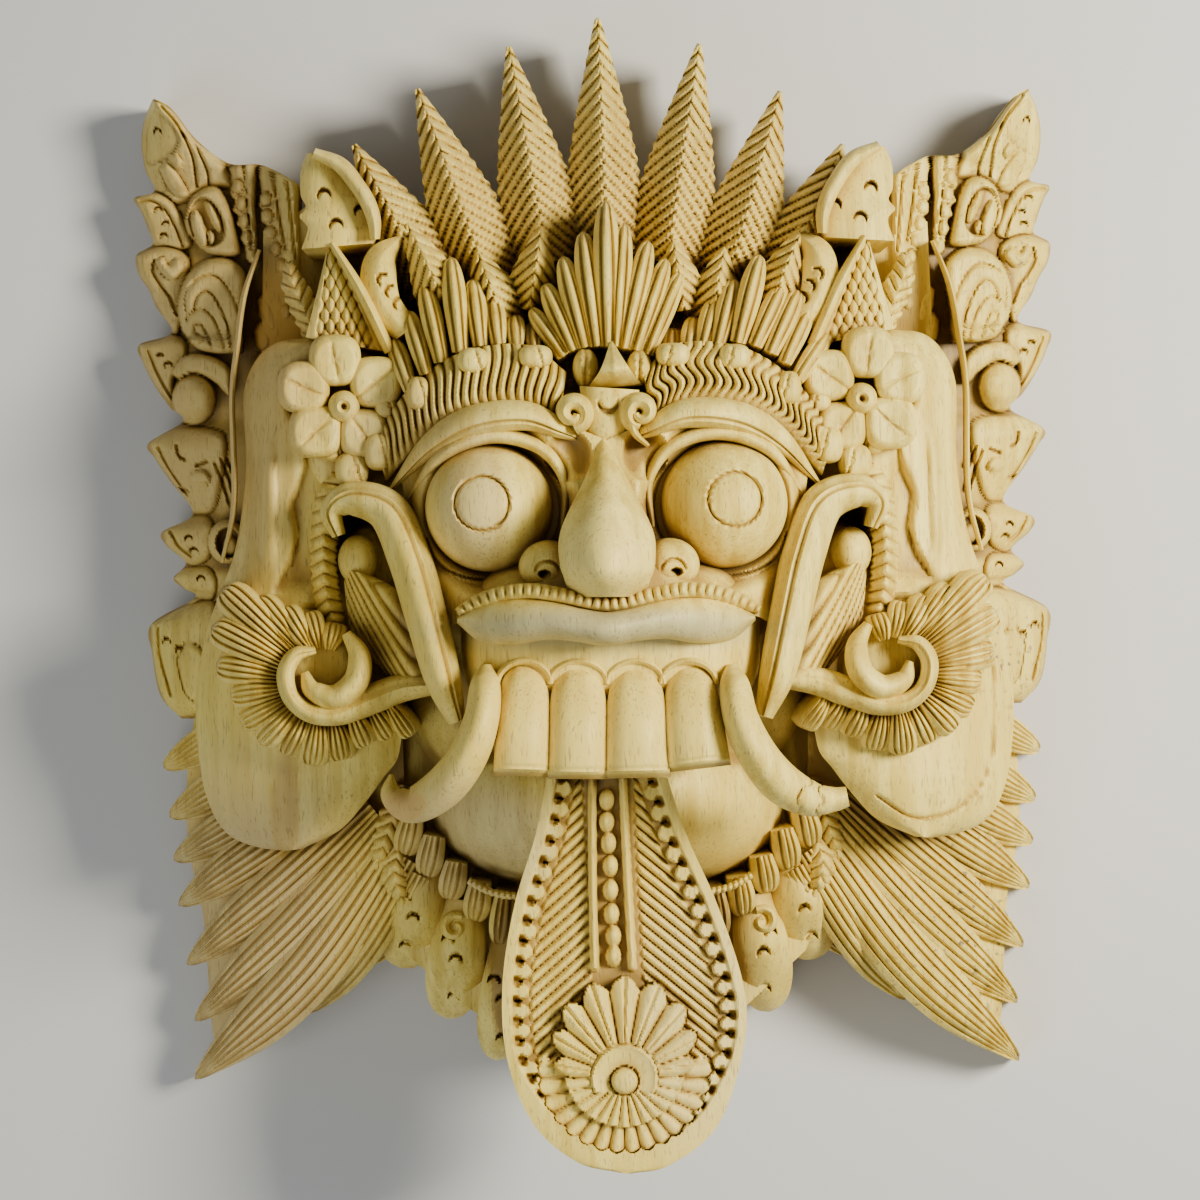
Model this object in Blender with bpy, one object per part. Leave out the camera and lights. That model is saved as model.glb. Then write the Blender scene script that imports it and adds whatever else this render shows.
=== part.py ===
"""A guardian mask with bulging eyes, tusks and a long tongue, carved from one block of pale wood.

It lies on its flat back with the face up: +X is to the right of the face, +Y towards the crown
and +Z out of the face. The back is scooped hollow. Each ornament is a closed skin of points laid
along a curve. The skins are fused into one carved block, which is then cut flat and hollowed.
"""

import math

import bmesh
import bpy
import numpy as np

# Driving dimensions, in metres
MASK_WIDTH = 0.310  # across the flame tips of the two side panels
MASK_DEPTH = 0.156  # from the flat back to the tip of the nose
HOLLOW_WIDTH = 0.112  # mouth of the scooped back, side to side
HOLLOW_LENGTH = 0.150  # mouth of the scooped back, chin to forehead
HOLLOW_DEPTH = 0.056
CARVED_STEP = 0.0011  # finest form that the fused block keeps
FACETS = 8900  # triangles of the finished block

# The layout is drawn over the picture: columns to the right, rows down, and levels above the back.
WIDTH_COLUMNS = 892  # between the flame tips, at the level of the panels
DEPTH_LEVELS = 156
AXIS_COLUMN, MIDDLE_ROW = 597.5, 600.0
TURNED = math.radians(1.0)  # the mask hangs this far round in the picture
SIDE_SIGHT = 0.025  # how far a point moves to the right for each step of level
SIGHT_WIDTHS = 2.6  # distance of the viewer, in mask widths
CROWN_TIP = (595, 17, 50)
TONGUE_TIP = (622, 1173, 112)
HOLLOW_ROW = 585

LEVEL = MASK_DEPTH / DEPTH_LEVELS
GRID = MASK_WIDTH / WIDTH_COLUMNS
SIGHT = SIGHT_WIDTHS * MASK_WIDTH
BELOW = -4  # level that everything standing on the back reaches down to, before the flat cut


def seen(spots):
    """Places of spots given as column, row and level, before the mask is centred."""
    spots = np.asarray(spots, float)
    across, up = spots[..., 0] - AXIS_COLUMN, MIDDLE_ROW - spots[..., 1]
    height = spots[..., 2] * LEVEL
    step = GRID * (1 - height / SIGHT)
    x = (across * math.cos(TURNED) + up * math.sin(TURNED)) * step
    y = (up * math.cos(TURNED) - across * math.sin(TURNED)) * step
    return np.stack([x - height * SIDE_SIGHT, y, height], axis=-1)


MIDDLE_Y = (seen(CROWN_TIP)[1] + seen(TONGUE_TIP)[1]) / 2


def place(spots):
    return seen(spots) - [0, MIDDLE_Y, 0]


def flow(knots, count):
    """Points on a smooth curve through the knots."""
    knots = np.asarray(knots, float)
    knots = knots[:, None] if knots.ndim == 1 else knots
    before, after = 2 * knots[0] - knots[1], 2 * knots[-1] - knots[-2]
    padded = np.vstack([before, knots, after])
    where = np.linspace(0, len(knots) - 1, count)
    first = np.minimum(where.astype(int), len(knots) - 2)
    t = (where - first)[:, None]
    a, b, c, d = (padded[first + k] for k in range(4))
    curve = b + 0.5 * t * (c - a + t * (2 * a - 5 * b + 4 * c - d + t * (3 * (b - c) + d - a)))
    return curve if knots.shape[1] > 1 else curve[:, 0]


def sideways(knots):
    """At each knot of a path, the direction to its right in the picture."""
    along = np.gradient(knots[:, :2], axis=0)
    reach = np.maximum(np.hypot(along[:, 0], along[:, 1]), 1e-9)
    return np.stack([-along[:, 1], along[:, 0]], axis=1) / reach[:, None]


UNDER_SHARES = np.array([0.85, 0, -0.85])


def closed_under(spots, under):
    """Rings of places: the carved top, and a plain underside at a level or just below the top."""
    top = place(spots)
    middle, half = (top[:, :1] + top[:, -1:]) / 2, (top[:, -1:] - top[:, :1]) / 2
    below = middle + half * UNDER_SHARES[:, None]
    below[..., 2] = np.minimum(LEVEL * under, below[..., 2] - LEVEL)
    return np.concatenate([top, below], axis=1)


def panel(left, right, crown, under, rows=12, ridge=2.0, columns=7, relief=None):
    """A slab between two edges, bulging by crown levels, and cut by relief at each spot."""
    first, second = flow(left, rows), flow(right, rows)
    share = np.linspace(-1, 1, columns)[:, None]
    spots = (first[:, None] * (1 - share) + second[:, None] * (1 + share)) / 2
    spots[..., 2] += crown * (1 - np.abs(share[:, 0]) ** ridge)
    if relief:
        spots[..., 2] += relief(spots)
    return closed_under(spots, under)


def leaf(spine, halves, crown, under, rows=9, ridge=1.3, blunt=False):
    """A leaf along a spine from its root to its tip, with half widths in columns."""
    knots = flow(spine, rows)
    half = flow(halves, rows)
    if blunt:
        half = half * np.sqrt(np.maximum(1 - np.linspace(0, 1, rows) ** 6, 1e-3))
    half = np.maximum(half, 0.4)
    rise = crown * np.minimum(1, half / half.max() * 1.4)
    share = np.linspace(-1, 1, 7)
    spots = np.empty((rows, 7, 3))
    spots[..., :2] = knots[:, None, :2] + sideways(knots)[:, None] * (half[:, None] * share)[..., None]
    spots[..., 2] = knots[:, 2:] + rise[:, None] * (1 - np.abs(share) ** ridge)
    return closed_under(spots, under)


def roll(spine, halves, highs, rows=14, columns=10):
    """A rounded bar along a spine, with half widths in columns and half heights in levels."""
    knots = flow(spine, rows)
    half, high = flow(halves, rows)[:, None], flow(highs, rows)[:, None]
    angles = np.linspace(0, 2 * math.pi, columns, endpoint=False)
    spots = np.empty((rows, columns, 3))
    spots[..., :2] = knots[:, None, :2] + sideways(knots)[:, None] * (half * np.cos(angles))[..., None]
    spots[..., 2] = knots[:, 2:] + high * np.sin(angles)
    return place(spots)


def dome(middle, halves, top, base, corner=2.0, fullness=1.0, rows=7, columns=28, under=BELOW):
    """A bulge over an oval, or over a rounded oblong where corner is above 2."""
    lift = np.linspace(0, 1, rows)
    shrink = np.cos(lift * math.pi / 2) ** min(fullness, 1)
    height = base + (top - base) * np.sin(lift * math.pi / 2) ** fullness
    angles = np.linspace(0, 2 * math.pi, columns, endpoint=False)
    c, s = np.cos(angles), np.sin(angles)
    far = (np.abs(c) ** corner + np.abs(s) ** corner) ** (-1 / corner)
    share = np.maximum(np.concatenate([[1.0], shrink]), 0.02)[:, None]
    spots = np.empty((rows + 1, columns, 3))
    spots[..., 0] = middle[0] + halves[0] * share * far * c
    spots[..., 1] = middle[1] + halves[1] * share * far * s
    spots[..., 2] = np.concatenate([[under], height])[:, None]
    return place(spots)


def plate(outline, level):
    """A flat board standing on the back, with its top at a level."""
    spots = np.array(outline, float)
    return np.array([place(np.column_stack([spots, np.full(len(spots), top)])) for top in (BELOW, level)])


def spiral(middle, radii, turns, start, level, halves, highs, hand=1):
    """A bar curling inwards round a middle, from the larger radius to the smaller."""
    share = np.linspace(0, 1, 9)
    radius = radii[0] + (radii[1] - radii[0]) * share
    angle = math.radians(start) + hand * 2 * math.pi * turns * share
    spots = [middle[0] + radius * np.cos(angle), middle[1] - radius * np.sin(angle), np.full(9, level)]
    return roll(np.stack(spots, axis=1), halves, highs, rows=16, columns=8)


# The board behind the crown, the corners, the ears and the chin, on the left of the face
BOARD = [
    (620, 190), (562, 176), (500, 208), (440, 222), (395, 226), (352, 196), (314, 200), (296, 214),
    (262, 232), (258, 560), (262, 800), (330, 930), (396, 930), (410, 958), (470, 1010), (520, 1040),
    (620, 1040),
]


def body_block():
    """The mass of wood behind the ornament: the head, the cheeks and the muzzle."""
    return [
        dome((600, 560), (225, 262), 92, 40, corner=2.6, fullness=0.9, columns=36),
        dome((603, 540), (190, 165), 104, 60, corner=2.6, fullness=0.8),
        dome((608, 640), (150, 85), 128, 70, corner=3.2, fullness=0.5),
        dome((604, 800), (178, 92), 92, 30, corner=2.3, fullness=0.8),
    ]


# Blades of the crown, and the low ones before them: tip, root, half width
BLADES = [
    ((595, 17), (604, 250), 36), ((506, 47), (546, 262), 38), ((415, 90), (487, 280), 38),
    ((352, 146), (432, 290), 37), ((697, 43), (664, 262), 38), ((778, 90), (726, 280), 38),
    ((841, 143), (778, 290), 37),
]
LOW_BLADES = [
    ((539, 223), (527, 310), 25), ((474, 250), (504, 330), 31), ((402, 219), (452, 320), 26),
    ((670, 237), (682, 310), 24), ((722, 245), (708, 330), 29), ((802, 222), (762, 320), 26),
]
BLADE_SHAPE = np.array([0.9, 1.0, 0.97, 0.74, 0.42, 0.06])  # half widths from root to tip


def blade(tip, root, half, level_tip, level_root, under):
    bend = (tip[0] * 0.45 + root[0] * 0.55, tip[1] * 0.45 + root[1] * 0.55, (level_tip + level_root) / 2 + 6)
    spine = [(*root, level_root), bend, (*tip, level_tip)]
    return leaf(spine, half * BLADE_SHAPE, 14, under, rows=11, ridge=1.0)


def crown_blades():
    high = [blade(*spots, 46, 50, 18) for spots in BLADES]
    return high + [blade(*spots, 62, 64, 30) for spots in LOW_BLADES]


# Lobes of the three fans over the forehead: root, tip, half width
MIDDLE_FAN = [
    ((606, 346), (603, 200), 14), ((595, 346), (580, 231), 13), ((583, 347), (560, 256), 12),
    ((571, 350), (542, 283), 11), ((561, 356), (528, 308), 9), ((622, 348), (646, 240), 12),
    ((634, 350), (664, 258), 11), ((645, 354), (679, 271), 10), ((614, 346), (622, 222), 11),
]
LEFT_FAN = [
    ((408, 390), (390, 337), 10), ((424, 374), (406, 311), 10), ((439, 362), (422, 284), 11),
    ((458, 352), (448, 257), 12), ((478, 346), (470, 279), 11), ((496, 344), (490, 296), 11),
    ((514, 345), (512, 314), 10), ((532, 349), (530, 322), 9),
]
RIGHT_FAN = [
    ((668, 360), (670, 327), 9), ((686, 350), (692, 316), 10), ((701, 345), (714, 296), 11),
    ((716, 343), (732, 278), 11), ((736, 342), (758, 254), 12), ((753, 345), (782, 281), 11),
    ((769, 352), (797, 288), 11), ((783, 362), (808, 306), 10), ((796, 378), (827, 331), 10),
]


def fan(lobes, level_root, level_tip, crown, under):
    """Blunt lobes side by side, each from a root to a tip."""
    skins = []
    for root, tip, half in lobes:
        middle = ((root[0] + tip[0]) / 2, (root[1] + tip[1]) / 2, (level_root + level_tip) / 2 + 2)
        spine = [(*root, level_root), middle, (*tip, level_tip)]
        skins.append(leaf(spine, [half * 0.7, half, half], crown, under, rows=6, blunt=True))
    return skins


def forehead_fans():
    return fan(MIDDLE_FAN, 98, 80, 6, 40) + fan(LEFT_FAN + RIGHT_FAN, 94, 72, 6, 36)


BROW_INNER = [(388, 474, 84), (424, 434, 96), (466, 410, 104), (524, 406, 107), (556, 426, 106)]
BROW_OUTER = [(378, 440, 84), (408, 392, 92), (458, 354, 98), (524, 346, 100), (562, 374, 104)]
BROW_FOLD = [(394, 484, 86), (428, 446, 100), (470, 422, 108), (522, 418, 111), (560, 442, 108)]
BROW_LID = [(412, 492, 92), (440, 455, 103), (490, 436, 108), (548, 458, 108)]


def brows():
    return [
        panel(BROW_OUTER, BROW_INNER, 6, 60),
        roll(BROW_FOLD, [7, 13, 16, 14, 6], [5, 9, 10, 9, 5]),
        roll(BROW_LID, [7, 8, 8, 5], [7] * 3),
        spiral((570, 412), (18, 5), 1.3, -60, 111, [8, 7, 4], [8, 8, 6], hand=-1),
    ]


def forehead_jewel():
    return [
        leaf([(613, 386, 104), (612, 368, 118), (609, 341, 106)], [27, 14, 1], 3, 88, ridge=1.0),
        leaf([(606, 388, 110), (606, 404, 113), (605, 430, 114), (603, 454, 113)], [44, 30, 17, 8], 4, 80),
        dome((583, 368), (13, 20), 109, 97, rows=4, columns=12),
        dome((637, 368), (13, 19), 109, 97, rows=4, columns=12),
    ]


EYE = (489, 507)
EYE_HALF = 64
EYE_MIDDLE_LEVEL, EYE_TOP_LEVEL = 101, 124
# The flesh runs from the brow down to the moustache and sinks to a socket round the ball
FLESH_TOP = [(398, 470, 90), (430, 432, 98), (480, 414, 106), (540, 416, 110), (604, 440, 113)]
FLESH_FOOT = [(424, 628, 108), (462, 616, 119), (510, 600, 128), (556, 600, 132), (606, 606, 134)]
SOCKET_LEVEL, SOCKET_HALF, FLESH_HALF = 99, 66, 92


def socket(spots):
    """How far the flesh is cut down round the ball of the eye."""
    far = np.hypot(spots[..., 0] - EYE[0], spots[..., 1] - EYE[1])
    share = np.clip((far - SOCKET_HALF) / (FLESH_HALF - SOCKET_HALF), 0, 1)
    return np.minimum(0, (SOCKET_LEVEL - spots[..., 2]) * (1 - share))


def eyes():
    ball = dome(EYE, (EYE_HALF, EYE_HALF), EYE_TOP_LEVEL, EYE_MIDDLE_LEVEL, columns=24, rows=8)
    return [ball, panel(FLESH_TOP, FLESH_FOOT, 0, 60, rows=32, columns=28, relief=socket)]


NOSE = [(602, 443, 112), (604, 480, 122), (605, 530, 138), (605, 562, 142), (605, 584, 140)]


def nose():
    return [leaf(NOSE, [3, 27, 47, 46, 38], 15, 100, rows=11, ridge=2.0)]


def nostril():
    return [dome((546, 567), (30, 27), 130, 112, fullness=0.7, rows=6, columns=20, under=90)]


def across_the_middle(line):
    """A line from the left edge to the axis, carried on to the right edge."""
    last = line[-1]
    return line + [(2 * last[0] - c, r - 0.017 * (last[0] - c), l) for c, r, l in line[-2::-1]]


LIP = across_the_middle([
    (462, 632, 116), (482, 629, 124), (512, 622, 131), (546, 620, 135), (580, 626, 138), (604, 628, 140),
])
LIP_HALVES = [8, 18, 22, 15, 13, 18, 13, 15, 22, 18, 8]
MOUSTACHE = across_the_middle([
    (450, 616, 116), (470, 604, 121), (502, 592, 128), (550, 594, 134), (607, 602, 137),
])
# Each tooth: column and half width at the root, then at the end, and the row of the end
TEETH = [(522, 27, 519, 28, 776), (576, 29, 575, 30, 779), (633, 29, 635, 33, 778), (686, 28, 697, 32, 769)]


def mouth():
    skins = [
        roll(LIP, LIP_HALVES, [9] * 11, rows=31),
        roll(MOUSTACHE, [6, 8, 8, 9, 10, 9, 8, 8, 6], [7] * 9, rows=31),
    ]
    for column, half, end_column, end_half, end_row in TEETH:
        spine = [(end_column, end_row, 134), ((column + end_column) / 2, 722, 133), (column, 662, 122)]
        skins.append(leaf(spine, [end_half, (half + end_half) / 2, half], 7, 96, ridge=2.4, blunt=True))
    return skins


# The left tusk curls up to a point, and the right one is broken off square
LEFT_TUSK = [
    (484, 676, 126), (479, 720, 134), (464, 758, 134), (440, 788, 128), (410, 805, 120), (390, 794, 115),
    (389, 774, 114),
]
RIGHT_TUSK = [
    (731, 676, 126), (739, 720, 134), (757, 757, 134), (780, 784, 128), (808, 799, 122), (830, 800, 118),
    (846, 797, 116),
]


def tusks():
    return [
        roll(LEFT_TUSK, [11, 17, 20, 21, 18, 12, 2], [9, 11, 12, 12, 10, 7, 2], rows=18),
        roll(RIGHT_TUSK, [11, 17, 20, 21, 18, 13, 10], [9, 11, 12, 12, 10, 8, 7], rows=18),
    ]


TONGUE_LEFT = [
    (545, 775, 104), (533, 835, 102), (512, 905, 100), (500, 985, 102), (505, 1060, 105), (532, 1125, 109),
    (575, 1162, 112), (618, 1173, 112),
]
TONGUE_RIGHT = [
    (664, 775, 104), (684, 835, 102), (715, 905, 100), (741, 985, 102), (742, 1045, 105), (716, 1125, 109),
    (668, 1165, 112), (628, 1174, 112),
]
TONGUE_UNDER = [(606, 770, 74), (612, 850, 72), (616, 920, 72), (618, 985, 80)]
BEAD_STRING = [(604, 790, 100), (608, 866, 100), (611, 968, 100)]


def tongue():
    return [
        panel(TONGUE_LEFT, TONGUE_RIGHT, -4, 84, rows=22),
        roll(TONGUE_UNDER, [52, 56, 50, 20], [14, 16, 16, 6]),
        roll(BEAD_STRING, [18] * 3, [5] * 3, rows=6, columns=8),
        dome((622, 1068), (84, 84), 107, 99, fullness=0.6, rows=4, columns=24, under=92),
        dome((622, 1074), (35, 32), 114, 104, fullness=0.7, rows=4, columns=16, under=92),
    ]


HOOK = [
    (337, 536, 84), (330, 512, 86), (350, 499, 90), (386, 512, 94), (408, 560, 100), (425, 620, 106),
    (441, 680, 110), (455, 722, 106),
]
PLUME_LEFT = [(342, 570, 80), (344, 600, 80), (352, 636, 80), (384, 676, 84)]
PLUME_RIGHT = [(366, 574, 84), (396, 592, 88), (416, 632, 92), (424, 682, 94)]
EDGING = [(345, 476, 78), (327, 500, 80), (322, 545, 78), (324, 590, 78), (334, 628, 76)]


def cheek_hook():
    return [
        roll(HOOK, [7, 12, 17, 21, 22, 21, 18, 9], [7, 9, 11, 13, 14, 14, 12, 8], rows=18),
        dome((356, 560), (20, 25), 86, 78, rows=4, columns=16),
        panel(PLUME_LEFT, PLUME_RIGHT, 6, 50),
        leaf(EDGING, [13] * 3, 6, 40),
    ]


SCROLL = [
    (440, 684, 92), (400, 688, 90), (368, 700, 90), (338, 713, 92), (310, 713, 92), (290, 698, 92),
    (284, 674, 92), (294, 655, 91), (314, 650, 88),
]
SCROLL_CRESCENT = [
    (344, 633, 90), (357, 655, 94), (354, 681, 96), (334, 697, 95), (311, 690, 93), (303, 672, 90),
]
# Petals round the scroll: root, tip, half width
RAYS = [
    ((290, 652), (221, 588), 20), ((284, 664), (211, 626), 19), ((281, 676), (215, 664), 18),
    ((282, 688), (229, 694), 16), ((286, 698), (239, 722), 16), ((294, 707), (259, 744), 15),
    ((304, 714), (284, 756), 15), ((316, 720), (311, 766), 16), ((332, 719), (341, 761), 16),
    ((350, 711), (366, 746), 14), ((368, 705), (389, 738), 13), ((386, 702), (410, 736), 12),
    ((299, 649), (255, 598), 17), ((307, 647), (281, 607), 15), ((317, 648), (306, 611), 14),
    ((328, 650), (334, 622), 13),
]
SCROLL_GROUND = 84


def ear_scroll():
    skins = [
        dome((306, 686), (74, 66), SCROLL_GROUND, 60, fullness=0.5, rows=5, columns=24),
        roll(SCROLL, [9, 14, 15, 12, 10, 9, 9, 8, 4], [8, 8, 8, 8, 8, 8, 7, 6, 4], rows=20, columns=8),
        roll(SCROLL_CRESCENT, [5, 11, 13, 13, 10, 4], [5, 8, 9, 9, 7, 4], rows=12, columns=8),
    ]
    for root, tip, half in RAYS:
        middle = ((root[0] + tip[0]) / 2, (root[1] + tip[1]) / 2, SCROLL_GROUND + 4)
        spine = [(*root, SCROLL_GROUND + 3), middle, (*tip, SCROLL_GROUND - 4)]
        skins.append(leaf(spine, [half * 0.4, half * 0.8, half], 4, 56, rows=7, blunt=True))
    return skins


EAR_OUTER = [
    (313, 338, 60), (268, 347, 60), (243, 390, 60), (244, 470, 60), (234, 550, 60), (206, 630, 60),
    (195, 700, 60), (199, 765, 60), (210, 808, 62), (228, 834, 63), (255, 846, 64), (284, 850, 65),
]
EAR_INNER = [
    (345, 350, 68), (350, 380, 70), (345, 430, 70), (335, 500, 70), (335, 560, 72), (360, 630, 74),
    (396, 700, 76), (397, 752, 76), (381, 778, 74), (360, 806, 71), (337, 830, 68), (300, 848, 66),
]
FLOWER = (342, 407)
PETALS = [(303, 386, 24), (333, 362, 24), (374, 382, 24), (315, 430, 25), (363, 434, 22)]


def ear():
    skins = [
        panel(EAR_OUTER, EAR_INNER, 9, 34, rows=20, ridge=2.6),
        dome(FLOWER, (16, 16), 92, 84, rows=4, columns=12),
    ]
    for column, row, half in PETALS:
        skins.append(dome((column, row), (half, half), 89, 80, fullness=0.6, rows=5, columns=16))
    return skins


# The flamed edge of the side panel: a tip, then the belly and the foot of each flame
PANEL_OUTER = [
    (152, 102), (144, 122), (141, 146), (145, 172), (154, 193), (134, 200), (141, 214), (148, 232),
    (152, 246), (136, 257), (138, 275), (148, 291), (156, 309), (171, 334), (139, 346), (143, 365),
    (155, 388), (169, 408), (182, 422), (148, 444), (155, 460), (169, 481), (192, 514), (162, 532),
    (166, 546), (185, 563), (173, 578), (182, 588), (194, 598), (151, 624), (152, 655), (160, 695),
    (181, 718),
]
PANEL_TOP = [(154, 101), (171, 111), (196, 142), (228, 165), (262, 167), (299, 188)]
PANEL_INNER_COLUMN = 296
PANEL_LEVELS = (17, 34)  # at the flamed edge and at the inner edge


def side_panel():
    outer = [(*spot, PANEL_LEVELS[0]) for spot in PANEL_OUTER]
    inner = PANEL_TOP + [(PANEL_INNER_COLUMN, row + 4) for _, row in PANEL_OUTER[len(PANEL_TOP):]]
    inner = [(*spot, PANEL_LEVELS[1]) for spot in inner]
    return [
        panel(outer, inner, 4, BELOW, rows=130, columns=9),
        dome((208, 224), (27, 34), 40, 30, rows=4, columns=18),
        spiral((206, 226), (19, 6), 1.1, 100, 38, [6, 5, 4], [5, 5, 4], hand=-1),
        dome((211, 306), (33, 47), 42, 30, rows=4, columns=18),
        spiral((210, 312), (24, 8), 1.1, 80, 40, [7, 6, 4], [5, 5, 4]),
        dome((193, 400), (22, 26), 41, 28, rows=4, columns=16),
        dome((208, 470), (24, 38), 36, 26, rows=4, columns=16),
        spiral((226, 542), (17, 8), 1.0, 90, 36, [6, 5, 4], [5, 5, 4]),
        dome((192, 658), (26, 42), 34, 24, rows=4, columns=16),
        leaf([(250, 262, 36), (242, 210, 40), (240, 164, 38)], [9, 11, 9], 5, BELOW, blunt=True),
        leaf([(286, 300, 38), (276, 240, 42), (270, 168, 40)], [12, 18, 13], 5, BELOW, blunt=True),
        roll([(258, 251, 42), (236, 346, 50), (231, 400, 52), (233, 502, 54), (221, 563, 52)],
             [3] * 3, [6, 9, 10, 10, 6], rows=20, columns=8),
    ]


CORNER_LEAF_LEFT = [(305, 155, 58), (299, 196, 62), (302, 250, 66)]
CORNER_LEAF_RIGHT = [(313, 154, 58), (356, 184, 62), (372, 246, 66)]
CORNER_BAND = [(312, 154, 64), (338, 166, 66), (355, 186, 68), (372, 222, 70), (373, 240, 70)]
TRIANGLE_LEFT = [(304, 338, 70), (316, 290, 70), (326, 247, 66)]
TRIANGLE_RIGHT = [(374, 350, 74), (348, 292, 72), (329, 246, 66)]


def corner_ornament():
    return [
        panel(CORNER_LEAF_LEFT, CORNER_LEAF_RIGHT, 4, 24),
        roll(CORNER_BAND, [5, 8, 8, 7, 5], [6] * 3),
        panel(TRIANGLE_LEFT, TRIANGLE_RIGHT, 3, 40),
        roll([(388, 352, 76), (360, 294, 74), (330, 244, 68)], [6, 6, 3], [6, 6, 4]),
        leaf([(404, 332, 76), (380, 302, 74), (378, 262, 70), (398, 238, 64)], [14, 18, 16, 3], 5, 40),
        leaf([(313, 338, 58), (300, 304, 60), (291, 284, 58), (287, 262, 54)], [11, 14, 12, 4], 4, 30),
    ]


# Wing feathers under the ear: root, bend, tip, half width
FEATHERS = [
    ((262, 700), (212, 738), (163, 767), 18), ((290, 735), (225, 783), (169, 816), 20),
    ((318, 765), (237, 823), (173, 859), 21), ((345, 790), (257, 850), (178, 904), 23),
    ((368, 805), (280, 887), (186, 963), 26), ((385, 822), (295, 928), (194, 1019), 28),
    ((398, 840), (305, 972), (194, 1077), 29), ((408, 860), (358, 942), (306, 1011), 24),
    ((418, 875), (396, 918), (362, 964), 22),
]
FEATHER_END = 13
WING_OUTER = [
    (196, 700, 20), (187, 769, 18), (186, 818, 18), (190, 860, 18), (201, 906, 18), (207, 970, 18),
    (212, 1030, 18), (218, 1062, 18),
]
WING_INNER = [
    (400, 700, 44), (402, 780, 44), (408, 850, 44), (404, 920, 42), (364, 958, 36), (320, 996, 30),
    (270, 1026, 24), (234, 1052, 20),
]


def wing_feathers():
    skins = [panel(WING_OUTER, WING_INNER, 2, BELOW, rows=16)]
    for number, (root, bend, tip, half) in enumerate(FEATHERS):
        spine = [(*root, 40 + number), (*bend, 33 + number), (*tip, 18)]
        halves = [half * 0.8, half, half * 1.05, half * 0.95, FEATHER_END]
        skins.append(leaf(spine, halves, 5, BELOW, rows=12, ridge=2, blunt=True))
    return skins


# Hanging leaves: root, tip, half width
PENDANTS = [((424, 868), (398, 967), 30), ((462, 900), (446, 1018), 29), ((506, 940), (494, 1060), 24)]
# Fluted lobes round the chin: root and tip
FRINGE = [
    ((410, 818), (402, 856)), ((432, 836), (424, 878)), ((454, 862), (447, 900)), ((478, 882), (472, 922)),
    ((504, 892), (498, 946)),
]


def chin_ornament():
    skins = [leaf([(404, 786, 46), (388, 826, 50), (372, 872, 46)], [11, 15, 12, 5], 5, 10)]
    for root, tip, half in PENDANTS:
        spine = [(*root, 44), ((root[0] + tip[0]) / 2, (root[1] + tip[1]) / 2, 44), (*tip, 26)]
        skins.append(leaf(spine, [half * 0.7, half, half], 6, BELOW, ridge=2, blunt=True))
    for root, tip in FRINGE:
        spine = [(*root, 60), ((root[0] + tip[0]) / 2, (root[1] + tip[1]) / 2, 58), (*tip, 48)]
        skins.append(leaf(spine, [11, 14, 14], 5, 20, rows=6, blunt=True))
    return skins


MIDDLE_PARTS = (body_block, crown_blades, forehead_fans, forehead_jewel, nose, mouth, tusks, tongue)
PAIRED_PARTS = (
    brows, eyes, nostril, cheek_hook, ear_scroll, ear, side_panel, corner_ornament, wing_feathers,
    chin_ornament,
)


def mirrored(skin):
    """The same skin on the other side of the face."""
    return (skin * [-1, 1, 1])[:, ::-1]


def all_skins():
    """Every ornament, the paired ones on both sides."""
    middle = [skin for make in MIDDLE_PARTS for skin in make()]
    paired = [plate(BOARD, 40)] + [skin for make in PAIRED_PARTS for skin in make()]
    return middle + paired + [mirrored(skin) for skin in paired]


def add_skin(mesh, points):
    """Closes rings of points into one skin, with a face over each end."""
    rings = [[mesh.verts.new(point) for point in ring] for ring in points]
    count = len(rings[0])
    faces = [mesh.faces.new(rings[0]), mesh.faces.new(rings[-1][::-1])]
    for near, far in zip(rings, rings[1:]):
        for i in range(count):
            j = (i + 1) % count
            faces.append(mesh.faces.new((near[i], far[i], far[j], near[j])))
    bmesh.ops.recalc_face_normals(mesh, faces=faces)


def wood():
    material = bpy.data.materials.new("pale_wood")
    material.use_nodes = True
    shader = material.node_tree.nodes["Principled BSDF"]
    shader.inputs["Base Color"].default_value = (0.60, 0.47, 0.25, 1)
    shader.inputs["Roughness"].default_value = 0.55
    shader.inputs["Metallic"].default_value = 0.0
    return material


def add_object(name, mesh):
    data = bpy.data.meshes.new(name)
    mesh.to_mesh(data)
    mesh.free()
    made = bpy.data.objects.new(name, data)
    bpy.context.scene.collection.objects.link(made)
    return made


def floor_cutter():
    """The block of space below the flat back."""
    size = 2 * MASK_WIDTH
    mesh = bmesh.new()
    bmesh.ops.create_cube(mesh, size=size)
    bmesh.ops.translate(mesh, verts=mesh.verts, vec=(0, 0, -size / 2))
    return add_object("floor_cutter", mesh)


def hollow_cutter():
    """The scooped space behind the face, a half egg whose mouth is on the back."""
    mesh = bmesh.new()
    bmesh.ops.create_uvsphere(mesh, u_segments=28, v_segments=16, radius=1)
    middle = place((AXIS_COLUMN, HOLLOW_ROW, 0))
    bmesh.ops.scale(mesh, verts=mesh.verts, vec=(HOLLOW_WIDTH / 2, HOLLOW_LENGTH / 2, HOLLOW_DEPTH))
    bmesh.ops.translate(mesh, verts=mesh.verts, vec=(0, middle[1], 0))
    return add_object("hollow_cutter", mesh)


def cut(mask, cutter):
    cutter.hide_render = True
    cutter.display_type = "WIRE"
    modifier = mask.modifiers.new("cut_" + cutter.name, "BOOLEAN")
    modifier.operation = "DIFFERENCE"
    modifier.object = cutter


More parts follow.
